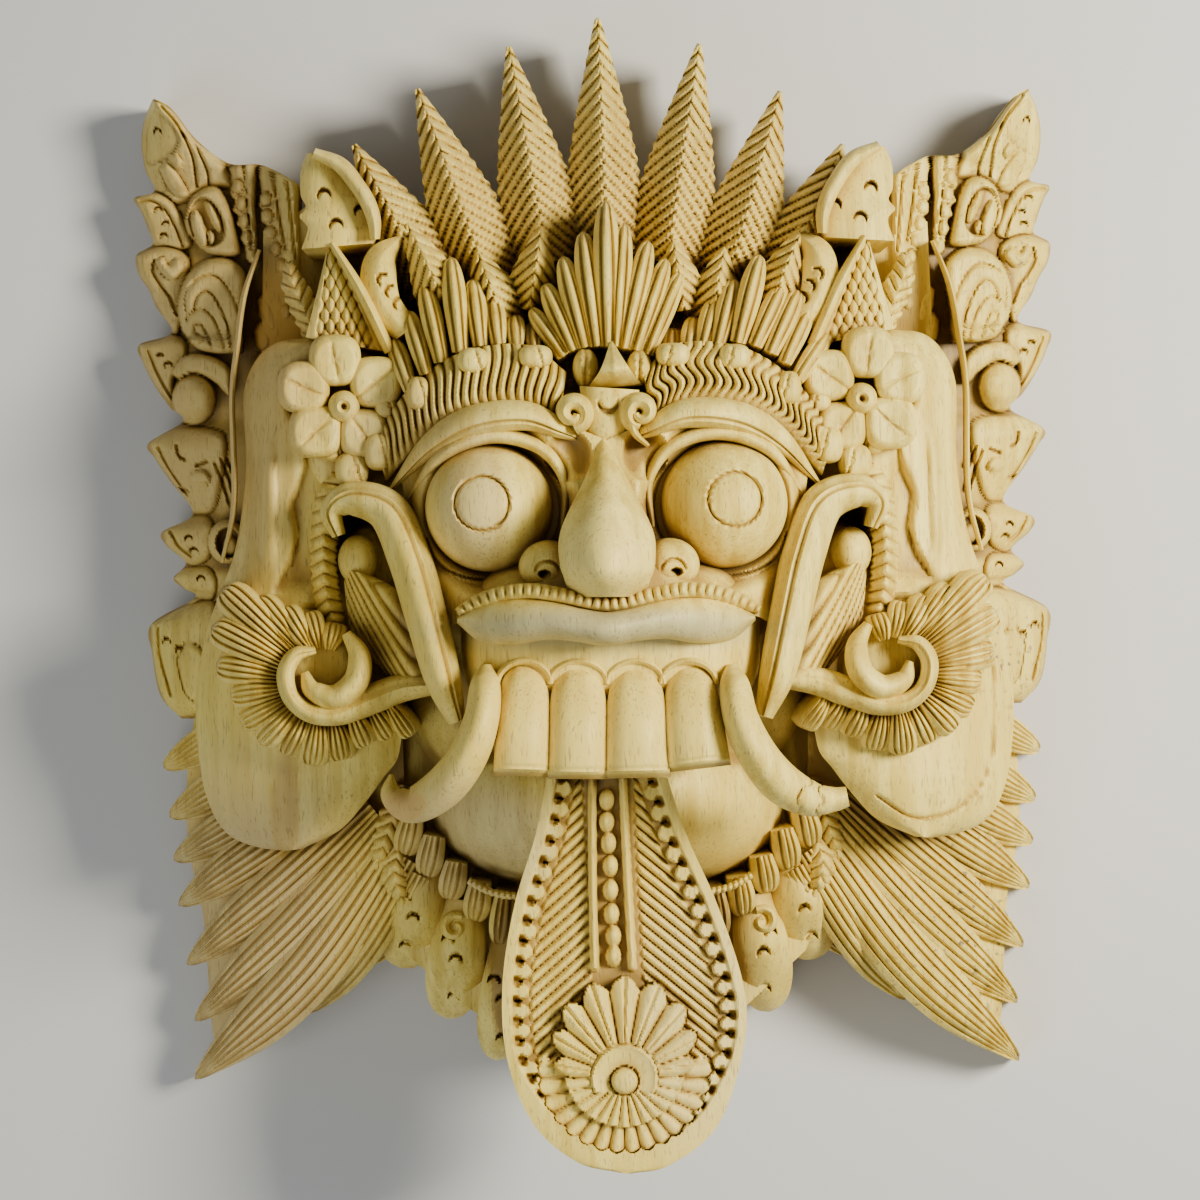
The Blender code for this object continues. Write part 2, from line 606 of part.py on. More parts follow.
def fused_block():
    """All the skins made one carved block of few facets."""
    mesh = bmesh.new()
    for skin in all_skins():
        add_skin(mesh, skin)
    mask = add_object("mask", mesh)
    remesh = mask.modifiers.new("fuse", "REMESH")
    remesh.mode = "VOXEL"
    remesh.voxel_size = CARVED_STEP
    graph = bpy.context.evaluated_depsgraph_get()
    fused = bpy.data.meshes.new_from_object(mask.evaluated_get(graph))
    mask.modifiers.clear()
    mask.data = fused
    fused.calc_loop_triangles()
    fewer = mask.modifiers.new("facets", "DECIMATE")
    fewer.ratio = FACETS / len(fused.loop_triangles)
    return mask


def main():
    for old in list(bpy.data.objects):
        bpy.data.objects.remove(old)
    mask = fused_block()
    cut(mask, floor_cutter())
    cut(mask, hollow_cutter())
    mask.data.materials.append(wood())


main()
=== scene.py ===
# %% [markdown]
# # A guardian mask carved from one block of pale wood
# The real mask is one block of light, close-grained wood. A carver saws the outline, sinks the ground
# between the forms, rounds them with gouges, and last cuts the fine barbs, flutes and crescents. This
# lesson works in the same order: first the block, then each ornament, then the fine cuts, then the wood.

# %% Load the frame
import math

import bpy
import numpy as np
from mathutils import Matrix, Vector


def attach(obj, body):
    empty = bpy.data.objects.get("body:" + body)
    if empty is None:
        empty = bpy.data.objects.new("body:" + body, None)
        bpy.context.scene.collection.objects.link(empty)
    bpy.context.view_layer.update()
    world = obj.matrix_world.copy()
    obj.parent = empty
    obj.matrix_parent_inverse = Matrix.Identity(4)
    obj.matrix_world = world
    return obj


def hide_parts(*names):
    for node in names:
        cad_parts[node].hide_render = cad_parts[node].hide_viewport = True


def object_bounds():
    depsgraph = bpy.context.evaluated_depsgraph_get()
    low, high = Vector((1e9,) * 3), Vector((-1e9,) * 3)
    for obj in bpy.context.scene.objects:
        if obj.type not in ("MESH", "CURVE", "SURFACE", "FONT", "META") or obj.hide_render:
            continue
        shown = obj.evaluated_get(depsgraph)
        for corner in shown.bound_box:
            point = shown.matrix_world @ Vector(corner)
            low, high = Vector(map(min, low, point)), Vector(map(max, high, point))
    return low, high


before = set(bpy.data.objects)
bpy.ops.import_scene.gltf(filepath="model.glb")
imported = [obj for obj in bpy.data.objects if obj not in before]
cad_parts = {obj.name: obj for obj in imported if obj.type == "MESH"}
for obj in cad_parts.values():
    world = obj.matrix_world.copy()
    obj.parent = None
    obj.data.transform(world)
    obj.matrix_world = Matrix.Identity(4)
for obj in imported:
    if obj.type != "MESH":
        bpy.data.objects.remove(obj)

CAD_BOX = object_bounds()
print("frame box", CAD_BOX)

# %% [markdown]
# ## Measuring over the picture
# Every form is laid out in columns, rows and levels. A column and a row are where the form is seen, and
# a level is how far it stands above the flat back. A near point looks larger and is pushed outward, so
# the same rule that placed the solids turns such a spot into metres.

# %% From the picture to metres
MASK_WIDTH, MASK_DEPTH = 0.310, 0.156
WIDTH_COLUMNS, DEPTH_LEVELS = 892, 156
AXIS_COLUMN, MIDDLE_ROW = 597.5, 600.0
TURNED = math.radians(1.0)
SIDE_SIGHT = 0.025  # how far the viewer stands to the left, in shares of the way off
LEVEL, GRID = MASK_DEPTH / DEPTH_LEVELS, MASK_WIDTH / WIDTH_COLUMNS
SIGHT = 2.6 * MASK_WIDTH  # how far off the viewer stands


def seen(spots):
    spots = np.asarray(spots, float)
    across, up, height = spots[..., 0] - AXIS_COLUMN, MIDDLE_ROW - spots[..., 1], spots[..., 2] * LEVEL
    spread = GRID * (1 - height / SIGHT)
    x = (across * math.cos(TURNED) + up * math.sin(TURNED)) * spread - height * SIDE_SIGHT
    y = (up * math.cos(TURNED) - across * math.sin(TURNED)) * spread
    return np.stack([x, y, height], axis=-1)


MIDDLE_Y = (seen((595, 17, 50))[1] + seen((622, 1173, 112))[1]) / 2


def place(spots):
    return seen(spots) - [0, MIDDLE_Y, 0]


print("crown tip at", place((595, 17, 50)).round(4), "tongue tip at", place((622, 1173, 112)).round(4))

# %% [markdown]
# ## The camera comes first
# The photograph looks straight at the face from about 0.8 m, a little from the left, and the mask hangs
# a degree round. The mask lies on its back here, so the same view looks down on it.

# %% Camera
SENSOR_WIDTH, PICTURE_COLUMNS = 36, 1200
sight_line = np.array([-math.sin(SIDE_SIGHT), 0, math.cos(SIDE_SIGHT)])
upward = np.array([math.sin(TURNED), math.cos(TURNED), 0])
rightward = np.cross(upward, sight_line)
rightward /= np.linalg.norm(rightward)
upward = np.cross(sight_line, rightward)
camera_data = bpy.data.cameras.new("camera")
camera_data.sensor_width = SENSOR_WIDTH
camera_data.lens = SENSOR_WIDTH * SIGHT / GRID / PICTURE_COLUMNS
camera = bpy.data.objects.new("camera", camera_data)
bpy.context.scene.collection.objects.link(camera)
turn = Matrix((rightward, upward, sight_line)).transposed().to_4x4()
turn.translation = sight_line * SIGHT - np.array([0, MIDDLE_Y, 0])
camera.matrix_world = turn
bpy.context.scene.camera = camera
print("lens", round(camera_data.lens, 1), "mm")

# %% [markdown]
# ## Skins laid along curves
# A carved leaf, a tusk and a curl are all one idea: a closed skin that follows a curve, with a width and
# a swelling that change along it. Each skin starts as a grid primitive whose rows are laid out along the
# curve. Its long sides meet underneath and its ends are drawn to a point, so that merging the doubles
# closes it. This suits carving better than extruding, because every cut is a change of level at a point.


# %% Curves and closing
def flow(knots, count):
    knots = np.asarray(knots, float)
    knots = knots[:, None] if knots.ndim == 1 else knots
    padded = np.vstack([2 * knots[0] - knots[1], knots, 2 * knots[-1] - knots[-2]])
    where = np.linspace(0, len(knots) - 1, count)
    first = np.minimum(where.astype(int), len(knots) - 2)
    t = (where - first)[:, None]
    a, b, c, d = (padded[first + k] for k in range(4))
    curve = b + 0.5 * t * (c - a + t * (2 * a - 5 * b + 4 * c - d + t * (3 * (b - c) + d - a)))
    return curve if knots.shape[1] > 1 else curve[:, 0]


def run_of(knots):
    """Distance along a path of spots, and the direction to its right, in the picture."""
    stride = np.gradient(knots[:, :2], axis=0)
    reach = np.maximum(np.hypot(stride[:, 0], stride[:, 1]), 1e-6)
    return np.cumsum(reach) - reach[0], np.stack([-stride[:, 1], stride[:, 0]], axis=1) / reach[:, None]


def closed_under(spots, under, cut):
    """Walls straight down from the two long edges of a carved top, and a floor at a level."""
    top = place(spots)
    middle = (top[:, :1] + top[:, -1:]) / 2
    half = (top[:, -1:] - top[:, :1]) / 2
    shares = np.array([0.93, 0.86, 0, -0.86, -0.93])[:, None]
    below = middle + half * shares
    floor = np.minimum(under * LEVEL, top[:, [0, -1], 2].min(axis=1) - 1.5 * LEVEL)
    drop = np.array([0.5, 1, 1, 1, 0.5])
    edge = np.stack([top[:, -1, 2], top[:, -1, 2], floor, top[:, 0, 2], top[:, 0, 2]], axis=1)
    below[..., 2] = edge * (1 - drop) + floor[:, None] * drop
    return np.concatenate([top, below], axis=1), np.concatenate([cut, np.zeros(below.shape[:2])], axis=1)


# The depth of the cuts later sets how much painted shade lies in them.
CUT_LEVELS = 1.7  # a point this far below what is round it is as dark as cuts get
CUT_REACH = 5


def blurred(field, reach):
    """Each value of a plan becomes the mean of the square round it, taken twice."""
    for axis in (0, 1, 0, 1):
        count = field.shape[axis]
        sums = np.insert(np.cumsum(field, axis=axis), 0, 0, axis=axis)
        low = np.clip(np.arange(count) - reach, 0, count)
        high = np.clip(np.arange(count) + reach + 1, 0, count)
        width = (high - low).reshape((-1, 1) if axis == 0 else (1, -1))
        field = (np.take(sums, high, axis=axis) - np.take(sums, low, axis=axis)) / width
    return field


def depth_of(carved, shape):
    carved = np.broadcast_to(carved, shape)
    return np.clip((blurred(carved, CUT_REACH) - carved) / CUT_LEVELS, 0, 1)


def leaf(spine, halves, crown, under, rows=20, columns=13, ridge=1.5, blunt=False, relief=None, wave=None,
         power=6):
    """A leaf along a spine from root to tip. relief gives levels cut at distance a, offset b."""
    knots = flow(spine, rows)
    a, side = run_of(knots)
    half = flow(halves, rows)
    if blunt:
        half = half * np.sqrt(np.maximum(1 - np.linspace(0, 1, rows) ** power, 1e-3))
    half = np.maximum(half, 0.4)
    rise = crown * np.minimum(1, half / half.max() * 1.4)
    if wave:
        half = half * wave(a)
    share = np.linspace(-1, 1, columns)
    spots = np.empty((rows, columns, 3))
    spots[..., :2] = knots[:, None, :2] + side[:, None] * (half[:, None] * share)[..., None]
    spots[..., 2] = knots[:, 2:3] + rise[:, None] * (1 - np.abs(share) ** ridge)
    carved = relief(a[:, None], half[:, None] * share, spots) if relief else np.zeros((1, 1))
    spots[..., 2] += carved
    return closed_under(spots, under, depth_of(carved, (rows, columns)))


def spine_between(root, tip, levels, share=0.5):
    """Root, a spot a share of the way, and tip, with their three levels."""
    middle = [share * t + (1 - share) * r for t, r in zip(tip, root)]
    return [(*root, levels[0]), (*middle, levels[1]), (*tip, levels[2])]


def panel(left, right, crown, under, rows=30, columns=17, ridge=2.0, relief=None):
    """A slab between two edges, each a list of spots."""
    first, second = flow(left, rows), flow(right, rows)
    share = np.linspace(0, 1, columns)[:, None]
    spots = first[:, None] * (1 - share) + second[:, None] * share
    spots[..., 2] += crown * (1 - np.abs(2 * share[:, 0] - 1) ** ridge)
    a, _ = run_of((first + second) / 2)
    carved = relief(a[:, None], 2 * share[:, 0][None] - 1, spots) if relief else np.zeros((1, 1))
    spots[..., 2] += carved
    return closed_under(spots, under, depth_of(carved, (rows, columns)))


def roll(spine, halves, highs, rows=40, columns=16, relief=None):
    """A rounded bar: half widths in columns and half heights in levels along a spine."""
    knots = flow(spine, rows)
    a, side = run_of(knots)
    half, high = np.maximum(flow(halves, rows), 0.3), np.maximum(flow(highs, rows), 0.3)
    angle = np.linspace(0, 2 * math.pi, columns, endpoint=False)
    carved = relief(a[:, None], angle[None], half[:, None]) if relief else np.zeros((1, 1))
    shrink = 1 + np.broadcast_to(carved, (rows, columns)) / high[:, None]
    spots = np.empty((rows, columns, 3))
    spots[..., :2] = knots[:, None, :2] + side[:, None] * (half[:, None] * shrink * np.cos(angle))[..., None]
    spots[..., 2] = knots[:, 2:3] + high[:, None] * shrink * np.sin(angle)
    return place(spots), depth_of(carved, (rows, columns))


def dome(middle, halves, top, base, under=0, corner=2.0, fullness=1.0, rows=12, columns=40, relief=None):
    """A bulge over an oval, or over a rounded oblong where corner is above 2."""
    lift = np.linspace(0, 1, rows)
    shrink = np.cos(lift * math.pi / 2) ** min(fullness, 1)
    height = base + (top - base) * np.sin(lift * math.pi / 2) ** fullness
    angle = np.linspace(0, 2 * math.pi, columns, endpoint=False)
    c, s = np.cos(angle), np.sin(angle)
    far = (np.abs(c) ** corner + np.abs(s) ** corner) ** (-1 / corner)
    share = np.maximum(np.concatenate([[1.0], shrink]), 0.01)[:, None]
    spots = np.empty((rows + 1, columns, 3))
    spots[..., 0] = middle[0] + halves[0] * share * far * c
    spots[..., 1] = middle[1] + halves[1] * share * far * s
    spots[..., 2] = np.concatenate([[under], height])[:, None]
    carved = np.zeros((rows + 1, columns))
    if relief:
        carved[1:] = relief(spots[1:, :, 0], spots[1:, :, 1])
        spots[..., 2] += carved
    return place(spots), depth_of(carved, carved.shape)


def spiral(middle, radii, turns, start, level, halves, highs, rows=48, lift=0):
    """A bar that curls inwards round a middle, from the larger radius to the smaller."""
    share = np.linspace(0, 1, 12)
    radius = radii[0] + (radii[1] - radii[0]) * share
    angle = math.radians(start) + 2 * math.pi * turns * share
    spots = [middle[0] + radius * np.cos(angle), middle[1] - radius * np.sin(angle), level + lift * share]
    return roll(np.stack(spots, axis=1), halves, highs, rows=rows, columns=12)


def mirrored(skin):
    """The same skin on the other side of the face."""
    points, cut = skin
    return (points * [-1, 1, 1])[:, ::-1], cut[:, ::-1]


def both(skins):
    return skins + [mirrored(skin) for skin in skins]


def add_skin(skin):
    """One grid primitive laid out as a closed skin, with the depth of its cuts kept on its points."""
    points, cut = skin
    rows, columns = points.shape[:2]
    full = np.empty((rows + 2, columns + 1, 3))
    full[1:-1, :-1], full[1:-1, -1] = points, points[:, 0]
    full[0], full[-1] = points[0].mean(axis=0), points[-1].mean(axis=0)
    marks = np.zeros((rows + 2, columns + 1))
    marks[1:-1, :-1], marks[1:-1, -1] = cut, cut[:, 0]
    bpy.ops.mesh.primitive_grid_add(x_subdivisions=columns, y_subdivisions=rows + 1, size=1, calc_uvs=False)
    made = bpy.context.object
    made.data.vertices.foreach_set("co", np.clip(full, CAD_BOX[0], CAD_BOX[1]).ravel())
    made.data.attributes.new("cut", "FLOAT", "POINT").data.foreach_set("value", marks.ravel())
    return made


PIECES = {}
MERGE_DISTANCE, CREASE = 1e-6, math.radians(50)


def carve(name, skins):
    """The skins of one ornament joined, closed and smoothed as a piece that stands for the solid."""
    bpy.ops.object.select_all(action="DESELECT")
    parts = [add_skin(skin) for skin in skins]
    for part in parts:
        part.select_set(True)
    bpy.context.view_layer.objects.active = parts[0]
    if len(parts) > 1:
        bpy.ops.object.join()
    piece = bpy.context.object
    piece.name = piece.data.name = name
    bpy.ops.object.mode_set(mode="EDIT")
    bpy.ops.mesh.select_all(action="SELECT")
    bpy.ops.mesh.remove_doubles(threshold=MERGE_DISTANCE)
    bpy.ops.mesh.normals_make_consistent(inside=False)
    bpy.ops.object.mode_set(mode="OBJECT")
    bpy.ops.object.shade_smooth_by_angle(angle=CREASE)
    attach(piece, "root")
    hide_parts("mask")
    PIECES[name] = piece
    print(name, len(skins), "skins,", sum(len(p.vertices) - 2 for p in piece.data.polygons), "triangles")
    return piece


# %% [markdown]
# ## Ways of cutting
# A carver has few cuts and repeats them. A veiner leaves a narrow groove, a row of grooves leaves ribs
# between them, and a round gouge pushed in and lifted leaves a crescent. Each is a small rule that says
# how many levels are taken away.


# %% Gouge cuts
def groove(distance, width, depth):
    return -depth * np.clip(1 - (distance / width) ** 2, 0, 1)


def ribs(phase, depth, roundness=0.6):
    return -depth * (1 - np.abs(np.sin(math.pi * phase)) ** roundness)


def bump(value, half):
    """A round swelling of height one where value is nought, gone at the half width."""
    return np.sqrt(np.clip(1 - (value / half) ** 2, 0, 1))


def crescent(spots, middle, radius, turn, depth):
    """A new moon, open towards the turn."""
    c, r = (spots[..., 0] - middle[0]) / radius, (middle[1] - spots[..., 1]) / radius
    way = math.radians(turn)
    outer = np.clip((1 - np.hypot(c, r)) * 5, 0, 1)
    inner = np.clip((np.hypot(c - 0.45 * math.cos(way), r - 0.45 * math.sin(way)) - 0.72) * 5, 0, 1)
    return -depth * outer * inner


def crescents(places, radius, turn, depth=4):
    return lambda a, b, spots: sum(crescent(spots, spot, radius, turn, depth) for spot in places)


def line_distance(spots, line, count=60):
    """How far each spot is from a line of picture spots, and how far along the line it is nearest."""
    knots = flow(line, count)
    along = np.concatenate([[0], np.cumsum(np.hypot(*np.diff(knots, axis=0).T))])
    best = np.full(spots.shape[:-1], 1e9)
    where = np.zeros(spots.shape[:-1])
    for k in range(count - 1):
        ahead = knots[k + 1] - knots[k]
        off = spots[..., :2] - knots[k]
        share = np.clip((off @ ahead) / (ahead @ ahead), 0, 1)
        far = np.hypot(*np.moveaxis(off - share[..., None] * ahead, -1, 0))
        nearer = far < best
        best = np.where(nearer, far, best)
        where = np.where(nearer, along[k] + share * (along[k + 1] - along[k]), where)
    return best, where


# %% [markdown]
# ## Forms laid one over another
# Low relief is cut as forms that lap each other: the nearer one keeps its sharp edge and rounds over to
# it, and the one behind is lowered against it. So a field of relief is a list of outlines, each with the
# level of its edge, how far it swells and over what distance, laid one after another.


# %% Forms in low relief
def inside(spots, ring):
    """Whether each spot lies within a closed line, by counting the crossings to one side."""
    hit = np.zeros(spots.shape[:-1], bool)
    for (c0, r0), (c1, r1) in zip(ring[:-1], ring[1:]):
        crosses = (r0 > spots[..., 1]) != (r1 > spots[..., 1])
        slope = (c1 - c0) / (r1 - r0) if r1 != r0 else 0
        hit ^= crosses & (spots[..., 0] < c0 + slope * (spots[..., 1] - r0))
    return hit


def lay_form(level, spots, outline, edge, rise, rounding):
    """One form over the levels there are: its edge level, its swelling and how wide that rounds."""
    low, high = np.min(outline, axis=0) - 3, np.max(outline, axis=0) + 3
    near = np.all((spots[..., :2] > low) & (spots[..., :2] < high), axis=-1)
    chosen = spots[near][:, :2]
    ring = outline + outline[:1]
    far, _ = line_distance(chosen, ring, 64)
    far = np.where(inside(chosen, flow(ring, 64)), far, -far)
    form = edge + rise * np.sqrt(1 - (1 - np.clip(far / rounding, 0, 1)) ** 2)
    weight = np.clip(far / 1.5 + 0.5, 0, 1)
    level[near] = level[near] * (1 - weight) + form * weight


def lay_forms(spots, forms, lines=(), width=2.0, depth=2.2):
    """The levels of a field of forms, and then the lines cut over them."""
    level = np.zeros(spots.shape[:-1])
    for outline, edge, rise, rounding in forms:
        lay_form(level, spots, outline, edge, rise, rounding)
    for line in lines:
        far, _ = line_distance(spots, line, 24)
        level += groove(far, width, depth)
    return level


def oval(middle, across, along, count=12):
    turns = np.linspace(0, 2 * math.pi, count, endpoint=False)
    return [(middle[0] + across * math.cos(turn), middle[1] + along * math.sin(turn)) for turn in turns]


# %% [markdown]
# ## The block
# Behind the ornament the wood is one mass: a board, the head, the cheeks and the muzzle, with a hollow
# scooped from the back. The board is an outline extruded upwards, the head is made of bulges, and the
# hollow is cut with a half egg by an exact Boolean, as the solid's own hollow is.

# %% The block and its hollow
BOARD = [
    (620, 190), (562, 176), (500, 208), (440, 222), (395, 226), (352, 196), (314, 200), (296, 214),
    (262, 232), (258, 560), (262, 800), (330, 930), (396, 930), (410, 958), (470, 1010), (520, 1040),
    (620, 1040),
]
BOARD_LEVEL = 40
HOLLOW_WIDTH, HOLLOW_LENGTH, HOLLOW_DEPTH, HOLLOW_ROW = 0.112, 0.150, 0.056, 585


def plate(outline, level):
    spots = np.array(outline, float)
    rings = np.array([place(np.column_stack([spots, np.full(len(spots), top)])) for top in (0, level)])
    return rings, np.zeros(rings.shape[:2])


HEAD = [
    dome((600, 560), (225, 262), 92, 40, corner=2.6, fullness=0.9, rows=20, columns=64),
    dome((603, 540), (190, 165), 104, 60, corner=2.6, fullness=0.8, rows=20, columns=64),
    dome((608, 640), (150, 85), 128, 70, corner=3.2, fullness=0.5, rows=20, columns=64),
    dome((604, 800), (178, 92), 92, 30, corner=2.3, fullness=0.8, rows=20, columns=64),
    dome((604, 372), (212, 44), 80, 60, 40, corner=2.5, fullness=0.4, rows=16, columns=96),
]
# Low ground behind the flowers and inside the cheek hooks
SIDE_GROUND = [
    (348, 425, 58, 78, 74), (372, 606, 50, 84, 72), (858, 425, 58, 78, 74), (834, 606, 50, 84, 72),
]
for column, row, half, long_half, top in SIDE_GROUND:
    HEAD.append(dome((column, row), (half, long_half), top, 50, 30, fullness=0.4, rows=16, columns=64))
print(len(HEAD), "bulges of the head")

# %% [markdown]
# ## The crown
# Seven blades stand behind the forehead, each keeled down its middle and cut with barbs like a feather.
# The barbs are one rule: a groove wherever the distance up the blade, plus the distance from the keel,
# passes another pitch. Small broken blades fill the gaps in front.

# %% Crown blades
BLADES = [
    ((595, 17), (604, 250), 36), ((506, 47), (546, 262), 38), ((415, 90), (487, 280), 38),
    ((352, 146), (432, 290), 37), ((697, 43), (664, 262), 38), ((778, 90), (726, 280), 38),
    ((841, 143), (778, 290), 37),
]
LOW_BLADES = [
    ((539, 223), (527, 310), 25), ((474, 250), (504, 330), 31), ((402, 219), (452, 320), 26),
    ((670, 237), (682, 310), 24), ((722, 245), (708, 330), 29), ((802, 222), (762, 320), 26),
]
BARB_PITCH = 12.5
BEND_SHARE, BEND_LIFT = 0.45, 6  # where a blade bends, from its root, and how far it rises there


def barbs(slope, left_depth, right_depth):
    def relief(a, b, spots):
        depth = np.where(b < 0, left_depth, right_depth)
        return ribs((a + slope * np.abs(b)) / BARB_PITCH, depth, 0.8) + groove(b, 1.4, 1)
    return relief


def blade(tip, root, half, level_tip, level_root, under, rows):
    levels = (level_root, (level_tip + level_root) / 2 + BEND_LIFT, level_tip)
    halves = [half * 0.9, half, half * 0.97, half * 0.74, half * 0.42, 2.5]
    return leaf(spine_between(root, tip, levels, BEND_SHARE), halves, 14, under, rows, 25, ridge=1.0,
                relief=barbs(1.15, 4.6, 3.4), wave=lambda a: 1 + 0.03 * np.sin(2 * math.pi * a / BARB_PITCH))


crown = [blade(*spots, 46, 50, 18, 112) for spots in BLADES]
crown += [blade(*spots, 62, 64, 30, 50) for spots in LOW_BLADES]
carve("crown", crown)

# %% [markdown]
# ## Fans over the forehead
# Three fans of upright lobes stand on the brow line. Each lobe is round-ended, with two flutes run up it
# by a veiner, and the lobes lap each other like palm leaves.

# %% Forehead fans
MIDDLE_FAN = [
    ((606, 346), (603, 200), 14), ((595, 346), (580, 231), 13), ((583, 347), (560, 256), 12),
    ((571, 350), (542, 283), 11), ((561, 356), (528, 308), 9), ((622, 348), (646, 240), 12),
    ((634, 350), (664, 258), 11), ((645, 354), (679, 271), 10), ((614, 346), (622, 222), 11),
]
LEFT_FAN = [
    ((408, 390), (390, 337), 10), ((424, 374), (406, 311), 10), ((439, 362), (422, 284), 11),
    ((458, 352), (448, 257), 12), ((478, 346), (470, 279), 11), ((496, 344), (490, 296), 11),
    ((514, 345), (512, 314), 10), ((532, 349), (530, 322), 9),
]
RIGHT_FAN = [
    ((668, 360), (670, 327), 9), ((686, 350), (692, 316), 10), ((701, 345), (714, 296), 11),
    ((716, 343), (732, 278), 11), ((736, 342), (758, 254), 12), ((753, 345), (782, 281), 11),
    ((769, 352), (797, 288), 11), ((783, 362), (808, 306), 10), ((796, 378), (827, 331), 10),
]


def flutes(places, width=2.2, depth=2.4):
    def relief(a, b, spots):
        half = np.abs(b).max(axis=1, keepdims=True)
        return sum(groove(b - share * half, width, depth) for share in places)
    return relief


def fan(lobes, level_root, level_tip, crown, under):
    levels = (level_root, (level_root + level_tip) / 2 + 2, level_tip)
    return [leaf(spine_between(root, tip, levels), [half * 0.7, half, half], crown, under, 28, 21, 1.8, True,
                 flutes((-0.38, 0.38))) for root, tip, half in lobes]


fans = fan(MIDDLE_FAN, 98, 80, 6, 40)
for lobes in (LEFT_FAN, RIGHT_FAN):
    fans += fan(lobes, 94, 72, 6, 36)
carve("forehead_fans", fans)

# %% [markdown]
# ## Brows, curls and the jewel
# The brow is a band of short tufts cut square to its run, over a smooth double moulding. Two curls like
# a ram's horns close over the nose, and a small pyramid stands above them between two buds.

# %% Brows and jewel
BROW_INNER = [(384, 482, 84), (424, 436, 96), (466, 410, 104), (524, 406, 107), (556, 426, 106)]
BROW_OUTER = [(372, 440, 84), (406, 390, 92), (458, 353, 98), (524, 345, 100), (564, 372, 104)]
TUFT_PITCH, TUFT_DEPTH = 9.6, 4.2
BROW_MOULDING = [
    (388, 490, 86), (428, 446, 100), (470, 422, 108), (522, 416, 111), (560, 430, 109), (580, 440, 103),
]
LID_MOULDING = [
    (404, 502, 88), (440, 455, 103), (490, 436, 108), (538, 448, 108), (562, 482, 106), (560, 528, 108),
]
# Small blunt leaves on the brow and at its outer end: middle, half width, half length, level
BROW_BLOBS = [
    (471, 361, 16, 13, 108), (533, 357, 17, 12, 110), (416, 394, 12, 17, 102), (377, 452, 15, 19, 92),
    (350, 470, 17, 18, 88), (384, 408, 12, 12, 88), (330, 448, 12, 15, 84),
]


def tufts(swing, bends):
    """Short strokes that bend across the band and run out to points on the smooth moulding below."""
    def relief(a, s, spots):
        fade = np.clip((1.0 - s) * 1.6, 0, 1)
        return ribs((a + swing * np.sin(bends * s)) / TUFT_PITCH, TUFT_DEPTH * fade, 0.5 + 0.4 * fade)
    return relief


def brow_band(swing, bends):
    return panel(BROW_OUTER, BROW_INNER, 6, 60, 190, 30, 2.4, tufts(swing, bends))


def worn_leaf(column, row):
    """A flat facet with one nick, as a blunt worn leaf has."""
    return lambda c, r: groove(c - column - 0.3 * (r - row) - 5, 1.8, 1.2)


brow = [
    brow_band(4, 2.2),
    roll(BROW_MOULDING, [2, 12, 16, 15, 9, 3], [3, 8, 10, 10, 7, 3], 100, 32,
         lambda a, angle, half: groove(angle - 1.2, 0.16, 1.6)),
    roll(LID_MOULDING, [2, 7, 8, 7, 5, 2], [3, 7, 7, 6, 4, 2], 80, 20),
    spiral((570, 413), (15, 5), 1.2, -84, 110, [8, 9, 9, 8, 6, 4], [8, 9, 9, 8, 7, 5], rows=90, lift=4),
]
for column, row, half, long_half, level in BROW_BLOBS:
    brow.append(dome((column, row), (half, long_half), level, level - 9, 60, corner=2.6, fullness=0.6,
                     rows=12, columns=36, relief=worn_leaf(column, row)))
jewel = [
    leaf([(613, 386, 104), (612, 368, 118), (609, 341, 106)], [27, 14, 1], 3, 88, 16, 17, 1.0),
    leaf([(607, 388, 108), (606, 404, 110), (605, 430, 109), (604, 462, 100)], [30, 27, 23, 18], 5, 80, 40,
         31, 2.4, relief=lambda a, b, spots: crescent(spots, (606, 404), 12, 90, 2.5)),
    dome((583, 368), (13, 20), 109, 97, 80, rows=8, columns=24, relief=lambda c, r: groove(c - 583, 3, 2)),
    dome((637, 368), (13, 19), 109, 97, 80, rows=8, columns=24, relief=lambda c, r: groove(c - 637, 3, 2)),
    roll([(641, 396, 112), (630, 412, 113), (632, 432, 113), (646, 446, 111)], [4, 5, 4, 2], [5] * 3, 40, 12),
]
# On the right the strokes were cut in a double bend
right_brow = [brow_band(5, 5)] + brow[1:]
carve("brows", brow + [mirrored(skin) for skin in right_brow] + jewel)

# %% [markdown]
# ## Eyes
# Each eye is a great ball with a ring cut round its pupil, in a socket with smooth folded lids.

# %% Eyes
EYE, PUPIL, INNER_CORNER = (487, 508), (479.5, 503.5), (566, 456)


def pupil_ring(c, r):
    far = np.hypot(c - PUPIL[0], r - PUPIL[1])
    return groove(far - 27, 2.2, 2.2) - 0.6 * np.clip((27 - far) / 3, 0, 1)


# The flesh runs from the brow down to the moustache and sinks to a socket round the ball
FLESH_TOP = [(398, 470, 90), (430, 432, 98), (480, 414, 106), (540, 416, 110), (604, 440, 113)]
FLESH_FOOT = [(424, 640, 94), (462, 620, 112), (510, 600, 128), (556, 600, 132), (606, 606, 134)]
SOCKET_LEVEL, LID, FLESH = 99, 66, 92
LID_LINES = [
    [(424, 540), (436, 563), (462, 577), (496, 580), (520, 570)],
    [(556, 478), (566, 502), (562, 532), (546, 552)],
    [(436, 448), (462, 434), (492, 430), (524, 436), (548, 452)],
]


